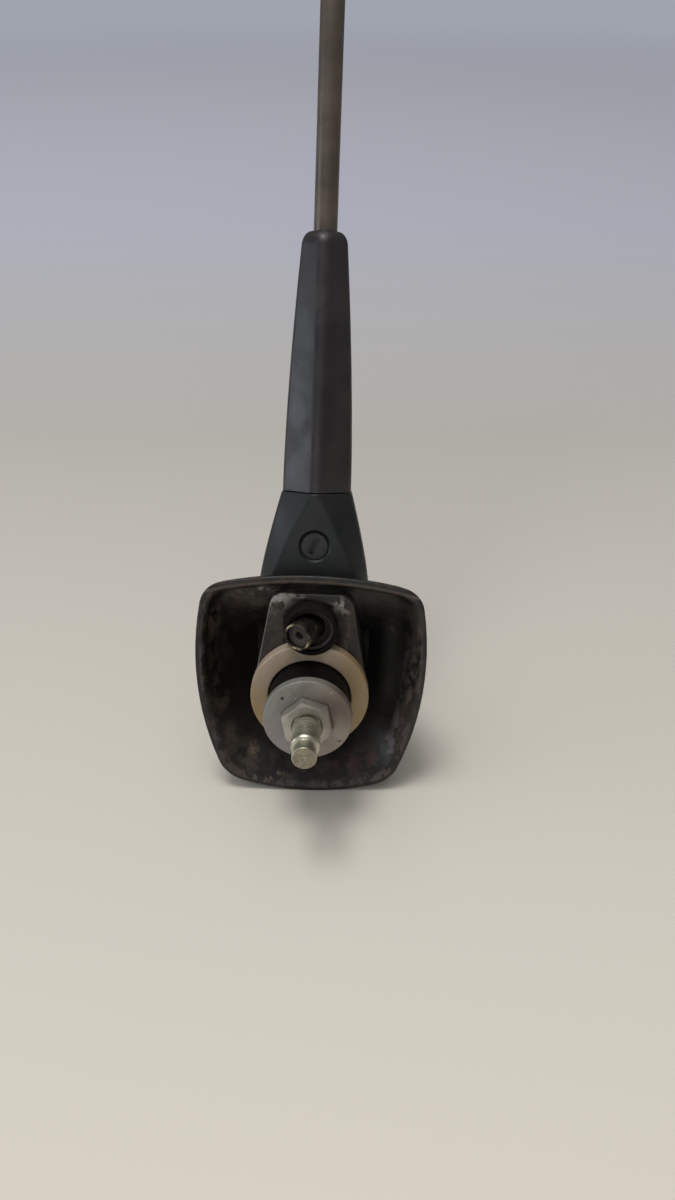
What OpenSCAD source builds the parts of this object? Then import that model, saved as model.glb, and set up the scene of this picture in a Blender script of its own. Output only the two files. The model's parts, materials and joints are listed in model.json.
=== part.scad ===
// Folding roof antenna for a car: a hollow base with a threaded roof stud,
// a coaxial socket in its underside, and a mast on a hinged foot.
// Z is up from the roof, the origin is the stud axis at the rim of the base,
// and the mast leaves the base towards +Y. Sizes are in millimetres.

/* [Base] */
// Greatest width of the base
base_w = 51; // [46:0.5:58]
// Reach of the rim behind the stud axis
base_rear = 27.8; // [27:0.2:31]
// Reach of the rim in front of the stud axis
base_front = 27.4; // [25:0.2:32]
// Corner radius beside the mast
rear_corner_r = 6.3; // [4.5:0.1:8]
// Corner radius at the narrow front
front_corner_r = 8.5; // [6.5:0.1:10]
// How far the front corners stand in from the greatest width
front_inset = 12.7; // [10:0.1:15]
// Height of the crown above the rim
crown_h = 18.5; // [17:0.1:24]
// Height of the nose above the rim
nose_h = 7; // [6:0.1:10]
// Width of the flat rim
rim_w = 1.6; // [1.2:0.1:2.6]
// Thickness of the roof of the base
roof_t = 2.2; // [1.6:0.1:3]

/* [Pedestal] */
// Radius of the round end of the pedestal
pedestal_r = 12.6; // [11.5:0.1:13]
// Half width of the pedestal at its rear edge
pedestal_rear_w = 8.6; // [7.5:0.1:10]
// Distance of the pedestal's rear edge from the stud axis
pedestal_rear = 23.6; // [22.8:0.1:24.4]

/* [Roof stud] */
// Radius over the stud thread
stud_r = 3; // [2.5:0.1:3]
// Radius of the head at the stud's end
pilot_r = 2.56; // [2.3:0.02:2.6]
// Radius of the neck between the thread and that head
neck_r = 2.3; // [1.8:0.05:2.35]
// Depth of the stud in its boss
stud_root = 9; // [7:0.5:10]
// Level at which the thread ends, below the rim
thread_end = 22.6; // [20:0.2:30]
// Length of the neck and head
pilot_len = 3.6; // [3:0.1:5]
// Nut size across its flats
nut_af = 10; // [9:0.1:10]
// Nut height
nut_h = 5; // [4:0.1:5]

/* [Clamp] */
// Outer radius of the pale ring
ring_r = 13.03; // [12.7:0.05:13.5]
// Inner radius of the pale ring
ring_bore_r = 9.13; // [9:0.05:9.5]
// Thickness of the pale ring
ring_t = 3; // [2:0.1:4]
// How far the nut stands out of its cup
nut_proud = 2.6; // [1:0.1:3]
// Radius of the locating hub
hub_r = 8.9; // [8.5:0.05:8.95]
// Length of the locating hub
hub_len = 10.1; // [9.8:0.1:12]
// Radius of the clamp cup's disc
disc_r = 9.48; // [9:0.02:10.5]
// Thickness of the clamp cup's disc
disc_t = 2.2; // [1.5:0.1:3]

/* [Socket] */
// Distance of the socket from the stud axis
socket_y = 16.4; // [16:0.1:16.8]
// Outer radius of the black collar
collar_r = 5.7; // [5.4:0.05:5.9]
// Outer radius of the sleeve inside the collar
sleeve_r = 4.85; // [4.6:0.05:5]
// Wall of the sleeve
sleeve_t = 0.65; // [0.5:0.05:0.8]
// Outer radius of the contact barrel
barrel_r = 3.05; // [2.8:0.05:3.1]
// Level of the barrel's mouth, below the rim
barrel_mouth = 6.1; // [5:0.1:7]
// Lean of the barrel towards +X
barrel_lean = 26; // [0:1:27]

/* [Hinge] */
// Distance of the hinge from the stud axis
pivot_y = 22; // [21.6:0.1:22.4]
// Height of the hinge above the rim
pivot_z = 13.67; // [13.5:0.01:14.5]
// Slope of the folded mast
fold_angle = 13.8; // [12:0.1:16]
// Radius of the hinge pin
pin_r = 2; // [1.5:0.1:2.3]
// Radius of the knuckle
knuckle_r = 5.6; // [5.2:0.05:5.7]
// Width of the knuckle
knuckle_w = 11; // [9:0.1:12]
// Radius of the round ends of the fork's cheeks
cheek_r = 8; // [7.8:0.05:8.1]

/* [Foot] */
// Width of the foot at the hinge
foot_w = 24; // [22:0.2:26]
// Width of the foot at the seam to the grip
seam_w = 15.3; // [14.8:0.1:17]
// Distance from the hinge to the seam
seam_y = 19.1; // [18.5:0.1:22]
// Distance from the hinge to the lock screw
screw_y = 7.8; // [7.8:0.1:9]
// Radius of the lock screw's head
screw_r = 2.95; // [2.4:0.05:3.2]

/* [Mast] */
// Width of the grip across its flats at the seam
grip_w = 14.9; // [14:0.1:16]
// Width of the grip at its shoulder
grip_end_w = 9.8; // [9.6:0.1:12]
// Length of the grip with its shoulder
grip_len = 54; // [52:0.5:64]
// Radius of the mast rod
rod_r = 2.5; // [2:0.05:2.6]
// Reach of the mast tip from the hinge
mast_reach = 280; // [200:5:600]

/* [Hidden] */
$fn = 96;
eps = 0.01;

// Fits and clearances
hinge_gap = 0.4;
washer_gap = 0.1;
washer_t = 0.5;
run_fit = 0.03;
ball_gap = 0.25;
seam_gap = 0.25;
hub_gap = 0.2;
notch_gap = 0.15;

// Outline of the rim
rear_corner_in = 7.55;
rear_corner_sag = 1.9;
front_corner_sag = 1.9;
side_bow_r = 76.6;
arc_steps = 5;
rear_corner = [base_w / 2 - rear_corner_in, base_rear - rear_corner_sag - rear_corner_r];
front_corner = [base_w / 2 - front_inset, front_corner_sag + front_corner_r - base_front];

// Socket levels above the rim
socket_top = 3.4;
strap_t = 0.4;
strap_half = 1.2;
collar_end = -2.8;
sleeve_end = -1.9;
insulator_end = -0.9;
lean_z = -0.3;
barrel_top = 0.4;
barrel_wall = 0.5;
barrel_bore_r = barrel_r - barrel_wall;
barrel_up = (barrel_top - lean_z) / cos(barrel_lean);
barrel_down = (barrel_mouth + lean_z) / cos(barrel_lean);
core_recess = 1;
contact_r = 0.65;
contact_hole_r = 0.9;
contact_recess = 2.4;

// Clamp levels and hexes
hub_wall = 1.6;
cup_floor_t = 2;
cup_z = -hub_len - disc_t;
cup_floor_z = cup_z - nut_proud + nut_h;
cup_boss_r = hub_r - hub_wall;
nut_clear = 0.2;
nut_z = cup_floor_z - nut_h;
nut_turn = 18;
nut_sink = 0.7;
stud_hole_gap = 0.3;
relief_r = stud_r - 0.3;
relief_len = 1;
thread_start = nut_z + nut_sink - relief_len;
head_t = 1;
head_round = 0.3;
dimple_r = 0.6;
chamfer = 0.45;

// Hinge block and fork
block_half = 2.4;
block_z = 4.8;
stem_r = 0.9;
stem_y = socket_y + 3.1;
slot_half = knuckle_w / 2 + washer_gap + washer_t;
slot_r = knuckle_r + hinge_gap;
slot_front = block_half * cos(fold_angle) - knuckle_r * sin(fold_angle) + hinge_gap;
slot_top = 2.6;
washer_r = knuckle_r - 0.6;
pocket_r = cheek_r + hinge_gap;
pocket_half = foot_w / 2 + hinge_gap;

// Form of the dome and of the cavity's walls
crown_y = 8;
crown_power = 1.4;
flank = 0.45;
shell_form = [1.6, 0.85];
wall_form = [1.3, 1];
ring_shares = [1, 0.98, 0.95, 0.91, 0.86, 0.8, 0.73, 0.64, 0.55, 0.4, 0.2];

// Slope of the cavity's roof, from shallow at the rear rim to deep in front
web_low = 2.2;
web_run = 20;
web_power = 1.8;
web_steps = 12;

// Section of the foot and the grip
side_half = 4.2;
flat_half = 10.2;
ridge_half = 0.3;
notch_half = flat_half + ridge_half + hinge_gap;
grip_ridge = 0.9;
soft_r = 0.8;
shoulder_in = 0.3;
shoulder_len = 0.6;
flare_power = 1.2;
ridge_power = 0.85;
taper_power = 1.6;
foot_rings = 14;
grip_rings = 12;
grip_y = seam_y + seam_gap;
end_round = 3.2;
end_angles = [20, 40, 60, 75];
grip_lip = 0.2;
shoulder_y = grip_y + grip_len - end_round;
hex_point = 1 / cos(30);
deck = cheek_r + 0.1;
deck_rise = 0.4;

// Pieces inside the foot and the grip
insert_r = 4;
insert_y = knuckle_r + hinge_gap + 0.2;
ball_r = 1.5;
ball_y = knuckle_r + ball_gap + ball_r;
spring_bore_r = 1.6;
spring_wire_r = 0.25;
spring_pitch = 1.8 * spring_wire_r;
spring_gap = 0.1;
spring_y = ball_y + ball_r;
thread_r = 2.5;
thread_y = seam_y - 6.5;
screw_sink = 0.5;
screw_head_h = 2.4;
screw_tip_r = 1.2;
screw_tip_z = -insert_r + 0.8;
screw_slot_w = 0.8;
screw_slot_len = 3.6;
screw_slot_turn = -20;
flange_r = 5;
flange_t = 2.4;
ferrule_r = 3.6;
ferrule_len = 17;
rod_y = seam_y + 7;
coil_y = seam_y + 21;
coil_len = 24;
coil_wire_r = 0.5;
coil_pitch = 0.9;
tip_r = rod_r + 0.65;
tip_len = 11;
tip_cover = 2;
tip_edge = 0.3;

// Arc of a circle from angle a0 to a1, as points
function arc(c, r, a0, a1, n) =
    [for (i = [0:n]) let (a = a0 + (a1 - a0) * i / n) [c[0] + r * cos(a), c[1] + r * sin(a)]];

// Radius of a bow centred on the Y axis that runs into a corner circle, d behind the corner's centre
function bow_r(cx, r, d) = (cx * cx + d * d - r * r) / (2 * (d - r));

// Centre of the side bow, which runs into both corner circles
function side_centre(a, ra, b, rb, r) =
    let (d = norm(b - a), la = r - ra, lb = r - rb)
    let (along = (la * la - lb * lb + d * d) / (2 * d))
    let (off = sqrt(la * la - along * along), u = (b - a) / d)
    a + u * along + [u[1], -u[0]] * off;

// Right half of the rim from rear to front, moved inwards by inset
function half_rim(inset) =
    let (rr = bow_r(rear_corner[0], rear_corner_r, base_rear - rear_corner[1]))
    let (rf = bow_r(front_corner[0], front_corner_r, base_front + front_corner[1]))
    let (rear_c = [0, base_rear - rr], front_c = [0, rf - base_front])
    let (side_c = side_centre(rear_corner, rear_corner_r, front_corner, front_corner_r, side_bow_r))
    let (a1 = atan2(rear_corner[1] - rear_c[1], rear_corner[0]))
    let (a2 = atan2(rear_corner[1] - side_c[1], rear_corner[0] - side_c[0]))
    let (a3 = atan2(front_corner[1] - side_c[1], front_corner[0] - side_c[0]))
    let (a4 = atan2(front_corner[1] - front_c[1], front_corner[0]))
    concat(arc(rear_c, rr - inset, 90, a1, 4),
           [for (p = arc(rear_corner, rear_corner_r - inset, a1, a2, arc_steps)) p],
           [for (i = [1:arc_steps]) arc(side_c, side_bow_r - inset, a2, a3, arc_steps + 1)[i]],
           arc(front_corner, front_corner_r - inset, a3, a4, arc_steps),
           [for (i = [1:4]) arc(front_c, rf - inset, a4, -90, 4)[i]]);

// Whole rim, with the right half mirrored
function rim(inset) =
    let (h = [for (p = half_rim(inset)) p], n = len(h))
    let (clean = [for (i = [0:n - 1]) if (i == 0 || norm(h[i] - h[i - 1]) > eps) h[i]])
    concat(clean, [for (i = [len(clean) - 2:-1:1]) [-clean[i][0], clean[i][1]]]);

// Height of the crown line at y, rising from the nose to the crown
function crown(y, nose, top) =
    let (u = min(1, max(0, (y + base_front) / (base_front + crown_y))))
    nose + (top - nose) * pow(sin(90 * u), crown_power);

// Share of the height reached when the outline has shrunk to the share s; form is [roundness, lift]
function swell(s, form) = let (t = min(1, (1 - s) / flank)) pow(1 - pow(1 - t, form[0]), form[1]);

// Rings of the dome from the rim to the crown
function dome_rings(inset, nose, top, form) =
    [for (s = ring_shares)
        [for (p = rim(inset)) [p[0] * s, p[1] * s, crown(p[1] * s, nose, top) * swell(s, form)]]];

// Closed skin over rings of points, ending in a flat lid or in a point
module skin(rings, apex = undef) {
    n = len(rings[0]);
    m = len(rings);
    sides = [for (j = [0:m - 2]) for (i = [0:n - 1]) let (k = (i + 1) % n)
        [j * n + i, j * n + k, (j + 1) * n + k, (j + 1) * n + i]];
    foot_lid = [[for (i = [n - 1:-1:0]) i]];
    last = (m - 1) * n;
    head_lid = is_undef(apex) ? [[for (i = [0:n - 1]) last + i]]
        : [for (i = [0:n - 1]) [last + i, last + (i + 1) % n, m * n]];
    points = concat([for (r = rings) each r], is_undef(apex) ? [] : [apex]);
    polyhedron(points = points, faces = concat(sides, foot_lid, head_lid), convexity = 6);
}

// Corner of a polygon, softened over the distance d along both edges
function soft_corner(a, b, c, d) =
    let (da = min(d, norm(a - b) * 0.49), dc = min(d, norm(c - b) * 0.49))
    let (p = b + (a - b) / norm(a - b) * da, q = b + (c - b) / norm(c - b) * dc)
    [p, (p + 2 * b + q) / 4, q];

function soft_polygon(pts, d) =
    let (n = len(pts))
    [for (i = [0:n - 1]) each soft_corner(pts[(i + n - 1) % n], pts[i], pts[(i + 1) % n], d)];

// Eight-sided section across the mast at y: half width w with side faces of half height e,
// and flats of half width f at the height d
function section(y, w, f, d, e) =
    let (right = [[f, -d], [w, -e], [w, e], [f, d]], left = [[-f, d], [-w, e], [-w, -e], [-f, -d]])
    [for (p = soft_polygon(concat(right, left), soft_r)) [p[0], y, p[1]]];

// Places a piece of the mast in its frame: +Y along the mast, origin on the hinge
module on_mast() {
    translate([0, pivot_y, pivot_z])
        rotate([fold_angle, 0, 0])
            children();
}

// Round piece along the mast, from y to y + len
module along_mast(y, len, r) {
    translate([0, y, 0])
        rotate([-90, 0, 0])
            cylinder(h = len, r = r);
}

// Round piece along the hinge axis, centred
module across(r, w) {
    rotate([0, 90, 0])
        cylinder(h = w, r = r, center = true);
}

// Places a piece in the frame of the leaning barrel, with Z towards the roof of the base
module on_barrel() {
    translate([0, socket_y, lean_z])
        rotate([0, -barrel_lean, 0])
            children();
}

module hex_prism(af, h) {
    cylinder(h = h, r = af / 2 * hex_point, $fn = 6);
}

// Keyhole outline of the pedestal: a round end and two straight sides that touch it
module pedestal_outline() {
    corner = [pedestal_rear_w, pedestal_rear];
    a = atan2(corner[1], corner[0]) - acos(pedestal_r / norm(corner));
    touch = pedestal_r * [cos(a), sin(a)];
    circle(r = pedestal_r);
    polygon([corner, touch, [0, 0], [-touch[0], touch[1]], [-corner[0], corner[1]]]);
}

// Room in the base for the fork: a round trough, the space over it and a notch under the foot
module fork_pocket() {
    translate([0, pivot_y, pivot_z])
        across(pocket_r, 2 * pocket_half);
    translate([-pocket_half, pivot_y - pocket_r, pivot_z])
        cube([2 * pocket_half, base_rear, crown_h]);
    on_mast()
        rotate([-90, 0, 0])
            linear_extrude(height = base_rear)
                polygon([[notch_half, deck + hinge_gap], [pocket_half, side_half],
                         [pocket_half, -crown_h], [-pocket_half, -crown_h],
                         [-pocket_half, side_half], [-notch_half, deck + hinge_gap]]);
}

// Solid under the fork: its lower face slopes from the rear rim up into the cavity's roof
module sloped_web() {
    rear = base_rear - rim_w;
    slope = [for (i = [0:web_steps]) let (u = i / web_steps)
        [rear - web_run * u, web_low + (crown_h - web_low) * pow(u, web_power)]];
    rotate([90, 0, 90])
        linear_extrude(height = base_w, center = true)
            polygon(concat([[base_rear, web_low], [rear, web_low]], slope, [[base_rear, crown_h + eps]]));
}

module base_housing() {
    color([0.16, 0.155, 0.15])
    difference() {
        skin(dome_rings(0, nose_h, crown_h, shell_form), apex = [0, 0, crown(0, nose_h, crown_h)]);
        difference() {
            translate([0, 0, -eps])
                skin(dome_rings(rim_w, nose_h - roof_t, crown_h - roof_t, wall_form),
                     apex = [0, 0, crown(0, nose_h - roof_t, crown_h - roof_t)]);
            translate([0, 0, -1])
                linear_extrude(height = crown_h)
                    pedestal_outline();
            sloped_web();
        }
        fork_pocket();
        translate([0, 0, -1])
            cylinder(h = stud_root + 1, r = stud_r);
        translate([0, socket_y, -1])
            cylinder(h = socket_top + 1, r = collar_r);
        translate([0, stem_y, 0])
            cylinder(h = pivot_z, r = stem_r);
        translate([-knuckle_w / 2, pivot_y - block_half, block_z])
            cube([knuckle_w, 2 * block_half, pivot_z]);
    }
}

module insulating_ring() {
    color([0.72, 0.67, 0.56])
    translate([0, 0, -ring_t])
        difference() {
            cylinder(h = ring_t, r = ring_r);
            translate([0, 0, -1])
                cylinder(h = ring_t + 2, r = ring_bore_r);
            translate([0, socket_y, -1])
                cylinder(h = ring_t + 2, r = collar_r + notch_gap);
        }
}

module locating_hub() {
    color([0.07, 0.07, 0.07])
    translate([0, 0, -hub_len])
        difference() {
            cylinder(h = hub_len, r = hub_r);
            translate([0, 0, -1])
                cylinder(h = cup_floor_z + cup_floor_t + hub_gap + hub_len + 1, r = cup_boss_r + hub_gap);
            translate([0, 0, -1])
                cylinder(h = hub_len + 2, r = stud_r + stud_hole_gap);
        }
}

module clamp_cup() {
    color([0.55, 0.53, 0.54])
    difference() {
        union() {
            translate([0, 0, cup_z])
                cylinder(h = disc_t, r = disc_r);
            translate([0, 0, cup_z])
                cylinder(h = cup_floor_z + cup_floor_t - cup_z, r = cup_boss_r);
        }
        translate([0, 0, cup_z - 1])
            rotate([0, 0, nut_turn])
                hex_prism(nut_af + 2 * nut_clear, cup_floor_z - cup_z + 1);
        translate([0, 0, cup_z])
            cylinder(h = hub_len, r = stud_r + stud_hole_gap);
    }
}

// Stud with a relief under the nut, a free thread, and a neck with a head at its end
module roof_stud() {
    tip = thread_end + pilot_len;
    color([0.6, 0.61, 0.56])
    difference() {
        rotate_extrude()
            polygon([[0, stud_root], [stud_r, stud_root], [stud_r, thread_start + relief_len],
                     [relief_r, thread_start + relief_len], [relief_r, thread_start], [stud_r, thread_start],
                     [stud_r, chamfer - thread_end], [stud_r - chamfer, -thread_end],
                     [neck_r, -thread_end], [neck_r, head_t - tip], [pilot_r, head_t - head_round - tip],
                     [pilot_r, head_round - tip], [pilot_r - head_round, -tip], [0, -tip]]);
        translate([0, 0, -tip - eps])
            cylinder(h = dimple_r, r1 = dimple_r, r2 = dimple_r / 8);
    }
}

module stud_nut() {
    color([0.5, 0.49, 0.47])
    translate([0, 0, nut_z])
        difference() {
            rotate([0, 0, nut_turn])
                hex_prism(nut_af, nut_h);
            translate([0, 0, -1])
                cylinder(h = nut_h + 2, r = stud_r);
            translate([0, 0, -eps])
                cylinder(h = nut_sink + eps, r1 = stud_r + nut_sink, r2 = stud_r);
        }
}

// Tube on the socket axis between two levels
module socket_tube(r_out, r_in, z0, z1) {
    translate([0, socket_y, z0])
        difference() {
            cylinder(h = z1 - z0, r = r_out);
            translate([0, 0, -1])
                cylinder(h = z1 - z0 + 2, r = r_in);
        }
}

module socket_collar() {
    color([0.09, 0.09, 0.09])
        socket_tube(collar_r, sleeve_r, collar_end, socket_top);
}

module socket_sleeve() {
    color([0.33, 0.31, 0.3])
        socket_tube(sleeve_r, sleeve_r - sleeve_t, sleeve_end, socket_top);
}

module socket_insulator() {
    color([0.3, 0.22, 0.17])
    difference() {
        translate([0, socket_y, insulator_end])
            cylinder(h = socket_top - strap_t - insulator_end, r = sleeve_r - sleeve_t);
        on_barrel()
            translate([0, 0, -barrel_down])
                cylinder(h = barrel_down + barrel_up, r = barrel_r);
        on_barrel()
            cylinder(h = 2 * socket_top, r = contact_r);
    }
}

module socket_barrel() {
    color([0.4, 0.36, 0.3])
    on_barrel()
        translate([0, 0, -barrel_down])
            difference() {
                cylinder(h = barrel_down + barrel_up, r = barrel_r);
                translate([0, 0, -1])
                    cylinder(h = barrel_down + barrel_up + 2, r = barrel_bore_r);
            }
}

// Insulator that fills the barrel, with a hole where the lead's contact goes in
module barrel_core() {
    low = core_recess - barrel_down;
    color([0.3, 0.28, 0.26])
    on_barrel()
        difference() {
            translate([0, 0, low])
                cylinder(h = barrel_up - low, r = barrel_bore_r);
            cylinder(h = 2 * barrel_down, r = contact_r, center = true);
            translate([0, 0, low - 1])
                cylinder(h = contact_recess - core_recess + 1, r = contact_hole_r);
        }
}

module socket_pin() {
    low = contact_recess - barrel_down;
    color([0.72, 0.56, 0.25])
    intersection() {
        on_barrel()
            translate([0, 0, low])
                cylinder(h = 2 * socket_top - low, r = contact_r);
        translate([0, socket_y, socket_top - strap_t - 2 * barrel_mouth])
            cylinder(h = 2 * barrel_mouth, r = 2 * collar_r);
    }
}

// Strip from the top of the contact to the stem of the hinge block
module contact_strap() {
    pin_x = -tan(barrel_lean) * (socket_top - strap_t - lean_z);
    color([0.7, 0.45, 0.25])
    translate([0, socket_y, socket_top - strap_t]) {
        translate([pin_x - contact_r, -strap_half, 0])
            cube([stem_r - pin_x + contact_r, 2 * strap_half, strap_t]);
        translate([-stem_r, 0, 0])
            cube([2 * stem_r, stem_y - socket_y + stem_r, strap_t]);
    }
}

module pivot_block() {
    color([0.62, 0.61, 0.58])
    difference() {
        union() {
            translate([0, pivot_y, pivot_z])
                across(knuckle_r, knuckle_w);
            translate([-knuckle_w / 2, pivot_y - block_half, block_z])
                cube([knuckle_w, 2 * block_half, pivot_z - block_z]);
            translate([0, stem_y, socket_top])
                cylinder(h = block_z - socket_top + 1, r = stem_r);
        }
        translate([0, pivot_y, pivot_z])
            across(pin_r + run_fit, 2 * knuckle_w);
    }
}

module pivot_pin() {
    color([0.6, 0.6, 0.6])
    on_mast()
        across(pin_r, foot_w - 1);
}

// Washer between a cheek and the knuckle
module friction_washer(side) {
    color([0.8, 0.78, 0.7])
    on_mast()
        translate([side * (slot_half - washer_t / 2), 0, 0])
            difference() {
                across(washer_r, washer_t);
                across(pin_r, 2 * washer_t);
            }
}

module friction_washer_left() {
    friction_washer(-1);
}

module friction_washer_right() {
    friction_washer(1);
}

// Half width of the foot at y along the mast
function foot_half(y) =
    let (u = max(0, y) / seam_y)
    foot_w / 2 - (foot_w - seam_w) / 2 * pow(u, flare_power);

// Half width of its top and bottom flats, which run out to a ridge at the seam
function foot_flat(y) = let (u = max(0, y) / seam_y) ridge_half + flat_half * pow(1 - u, ridge_power);

// Faceted loft of the foot, with a small shoulder at the seam
module foot_body() {
    first = -cheek_r - 1;
    step = (seam_y - shoulder_len - first) / foot_rings;
    body = [for (i = [0:foot_rings]) let (y = first + step * i)
        section(y, foot_half(y), foot_flat(y), deck + deck_rise * max(0, y) / seam_y, side_half)];
    lip_w = seam_w / 2 - shoulder_in;
    lip_d = deck + deck_rise - shoulder_in;
    skin(concat(body, [section(seam_y, lip_w, ridge_half, lip_d, side_half - shoulder_in)]));
}

module mast_foot() {
    color([0.15, 0.16, 0.165])
    on_mast()
        difference() {
            intersection() {
                foot_body();
                union() {
                    across(cheek_r, 2 * foot_w);
                    translate([-foot_w, 0, -foot_w])
                        cube([2 * foot_w, seam_y, 2 * foot_w]);
                }
            }
            across(slot_r, 2 * slot_half);
            translate([-slot_half, -foot_w, -foot_w])
                cube([2 * slot_half, foot_w + slot_front, foot_w + slot_top]);
            across(pin_r, 2 * foot_w);
            along_mast(0, seam_y + 1, insert_r);
            translate([0, screw_y, -foot_w])
                cylinder(h = foot_w - deck + screw_sink + screw_head_h, r = screw_r);
            translate([0, screw_y, -foot_w])
                cylinder(h = foot_w, r = screw_tip_r);
        }
}

module foot_insert() {
    color([0.72, 0.6, 0.35])
    on_mast()
        difference() {
            along_mast(insert_y, seam_y - insert_y, insert_r);
            along_mast(0, seam_y, spring_bore_r);
            along_mast(thread_y, seam_y, thread_r);
            translate([0, screw_y, -foot_w])
                cylinder(h = foot_w + screw_tip_z, r = screw_tip_r);
        }
}

module lock_screw() {
    head = -deck + screw_sink;
    color([0.2, 0.2, 0.2])
    on_mast()
        translate([0, screw_y, 0])
            difference() {
                union() {
                    translate([0, 0, head])
                        cylinder(h = screw_head_h, r = screw_r);
                    translate([0, 0, head])
                        cylinder(h = screw_tip_z - head, r = screw_tip_r);
                }
                rotate([0, 0, screw_slot_turn])
                    translate([-screw_slot_w / 2, -screw_slot_len / 2, head - 1])
                        cube([screw_slot_w, screw_slot_len, 1 + screw_slot_w]);
            }
}

module contact_ball() {
    color([0.6, 0.6, 0.62])
    on_mast()
        translate([0, ball_y, 0])
            sphere(r = ball_r);
}

// Close-wound spring behind the ball
module contact_spring() {
    gap = thread_y - spring_y;
    turns = floor((gap - 2 * spring_wire_r) / spring_pitch);
    color([0.55, 0.55, 0.55])
    on_mast()
        for (i = [0:turns])
            translate([0, spring_y + spring_wire_r + i * (gap - 2 * spring_wire_r) / turns, 0])
                rotate([-90, 0, 0])
                    rotate_extrude()
                        translate([ball_r - spring_wire_r - spring_gap, 0])
                            circle(r = spring_wire_r, $fn = 24);
}

module mast_ferrule() {
    color([0.65, 0.65, 0.62])
    on_mast()
        difference() {
            union() {
                along_mast(thread_y, seam_y - thread_y + eps, thread_r);
                along_mast(seam_y, flange_t, flange_r);
                along_mast(seam_y, ferrule_len, ferrule_r);
            }
            along_mast(rod_y, mast_reach, rod_r);
        }
}

// Half width of the grip at the share u of its length
function grip_half(u) = grip_w / 2 - (grip_w - grip_end_w) / 2 * pow(u, taper_power);

// Section of the grip: a hexagon of half width w with a narrow flat on its ridges
function grip_section(y, w) = section(y, w, grip_ridge, (w - grip_ridge / 2) * hex_point, w / 2);

module mast_grip() {
    lip = rod_r + grip_lip;
    body = [for (i = [0:grip_rings]) let (u = i / grip_rings)
        grip_section(grip_y + (shoulder_y - grip_y) * u, grip_half(u))];
    round_end = [for (a = end_angles)
        grip_section(shoulder_y + end_round * sin(a), lip + (grip_end_w / 2 - lip) * cos(a))];
    color([0.17, 0.155, 0.15])
    on_mast()
        difference() {
            skin(concat(body, round_end));
            along_mast(0, seam_y + flange_t, flange_r);
            along_mast(0, seam_y + ferrule_len, ferrule_r);
            along_mast(coil_y - eps, coil_len + 2 * eps, rod_r + 2 * coil_wire_r);
            along_mast(0, mast_reach, rod_r);
        }
}

// Loading coil wound on the rod inside the grip
module loading_coil() {
    turns = floor((coil_len - 2 * coil_wire_r) / coil_pitch);
    color([0.72, 0.42, 0.22])
    on_mast()
        difference() {
            for (i = [0:turns])
                translate([0, coil_y + coil_wire_r + i * (coil_len - 2 * coil_wire_r) / turns, 0])
                    rotate([-90, 0, 0])
                        rotate_extrude()
                            translate([rod_r + coil_wire_r, 0])
                                circle(r = coil_wire_r, $fn = 24);
            along_mast(0, mast_reach, rod_r);
        }
}

module mast_rod() {
    color([0.22, 0.2, 0.18])
    on_mast()
        along_mast(rod_y, mast_reach - tip_cover - rod_y, rod_r);
}

// Rounded cap on the end of the rod
module mast_tip() {
    color([0.1, 0.1, 0.1])
    on_mast()
        difference() {
            translate([0, mast_reach - tip_len, 0])
                rotate([-90, 0, 0])
                    rotate_extrude()
                        polygon(concat([[0, 0], [tip_r - tip_edge, 0], [tip_r, tip_edge]],
                                       arc([0, tip_len - tip_r], tip_r, 0, 90, 2 * arc_steps)));
            along_mast(0, mast_reach - tip_cover, rod_r);
        }
}

base_housing();
insulating_ring();
locating_hub();
clamp_cup();
roof_stud();
stud_nut();
socket_collar();
socket_sleeve();
socket_insulator();
socket_barrel();
barrel_core();
socket_pin();
contact_strap();
pivot_block();
pivot_pin();
friction_washer_left();
friction_washer_right();
mast_foot();
foot_insert();
lock_screw();
contact_ball();
contact_spring();
mast_ferrule();
mast_grip();
loading_coil();
mast_rod();
mast_tip();
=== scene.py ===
import bpy
import bmesh
import json
import math
from mathutils import Matrix, Vector


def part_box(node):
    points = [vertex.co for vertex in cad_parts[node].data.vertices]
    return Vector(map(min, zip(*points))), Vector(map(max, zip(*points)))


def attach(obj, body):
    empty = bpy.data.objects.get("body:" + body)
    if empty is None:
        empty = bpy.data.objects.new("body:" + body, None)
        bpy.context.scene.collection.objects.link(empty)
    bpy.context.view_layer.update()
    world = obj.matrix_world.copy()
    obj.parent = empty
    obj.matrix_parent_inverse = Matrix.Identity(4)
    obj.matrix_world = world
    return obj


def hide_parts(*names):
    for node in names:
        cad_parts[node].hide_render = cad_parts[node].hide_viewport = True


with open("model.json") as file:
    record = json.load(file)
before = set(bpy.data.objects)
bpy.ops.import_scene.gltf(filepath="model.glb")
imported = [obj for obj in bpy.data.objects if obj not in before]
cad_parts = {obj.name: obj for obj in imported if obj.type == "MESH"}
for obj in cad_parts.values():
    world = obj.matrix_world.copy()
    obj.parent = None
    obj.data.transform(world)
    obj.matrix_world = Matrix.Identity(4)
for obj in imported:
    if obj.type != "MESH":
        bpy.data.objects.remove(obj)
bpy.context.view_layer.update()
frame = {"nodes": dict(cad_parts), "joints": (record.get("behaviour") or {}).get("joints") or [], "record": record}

mm = 0.001
scene = bpy.context.scene
cadNodes = frame["nodes"]
bodyOf = {node: body for body, names in frame["record"]["behaviour"]["bodies"].items() for node in names}
fold = frame["joints"][0]
hinge = Vector(fold["pos_m"])
rodLow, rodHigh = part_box("mast_rod")
mastWay = ((rodLow + rodHigh) / 2 - hinge).normalized()  # from the hinge towards the tip
mastTurn = Matrix.Rotation(math.atan2(mastWay.z, mastWay.y), 4, "X")  # turns +Y to the mast
print("frame loaded,", len(cadNodes), "nodes")

# camera and stage

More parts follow.
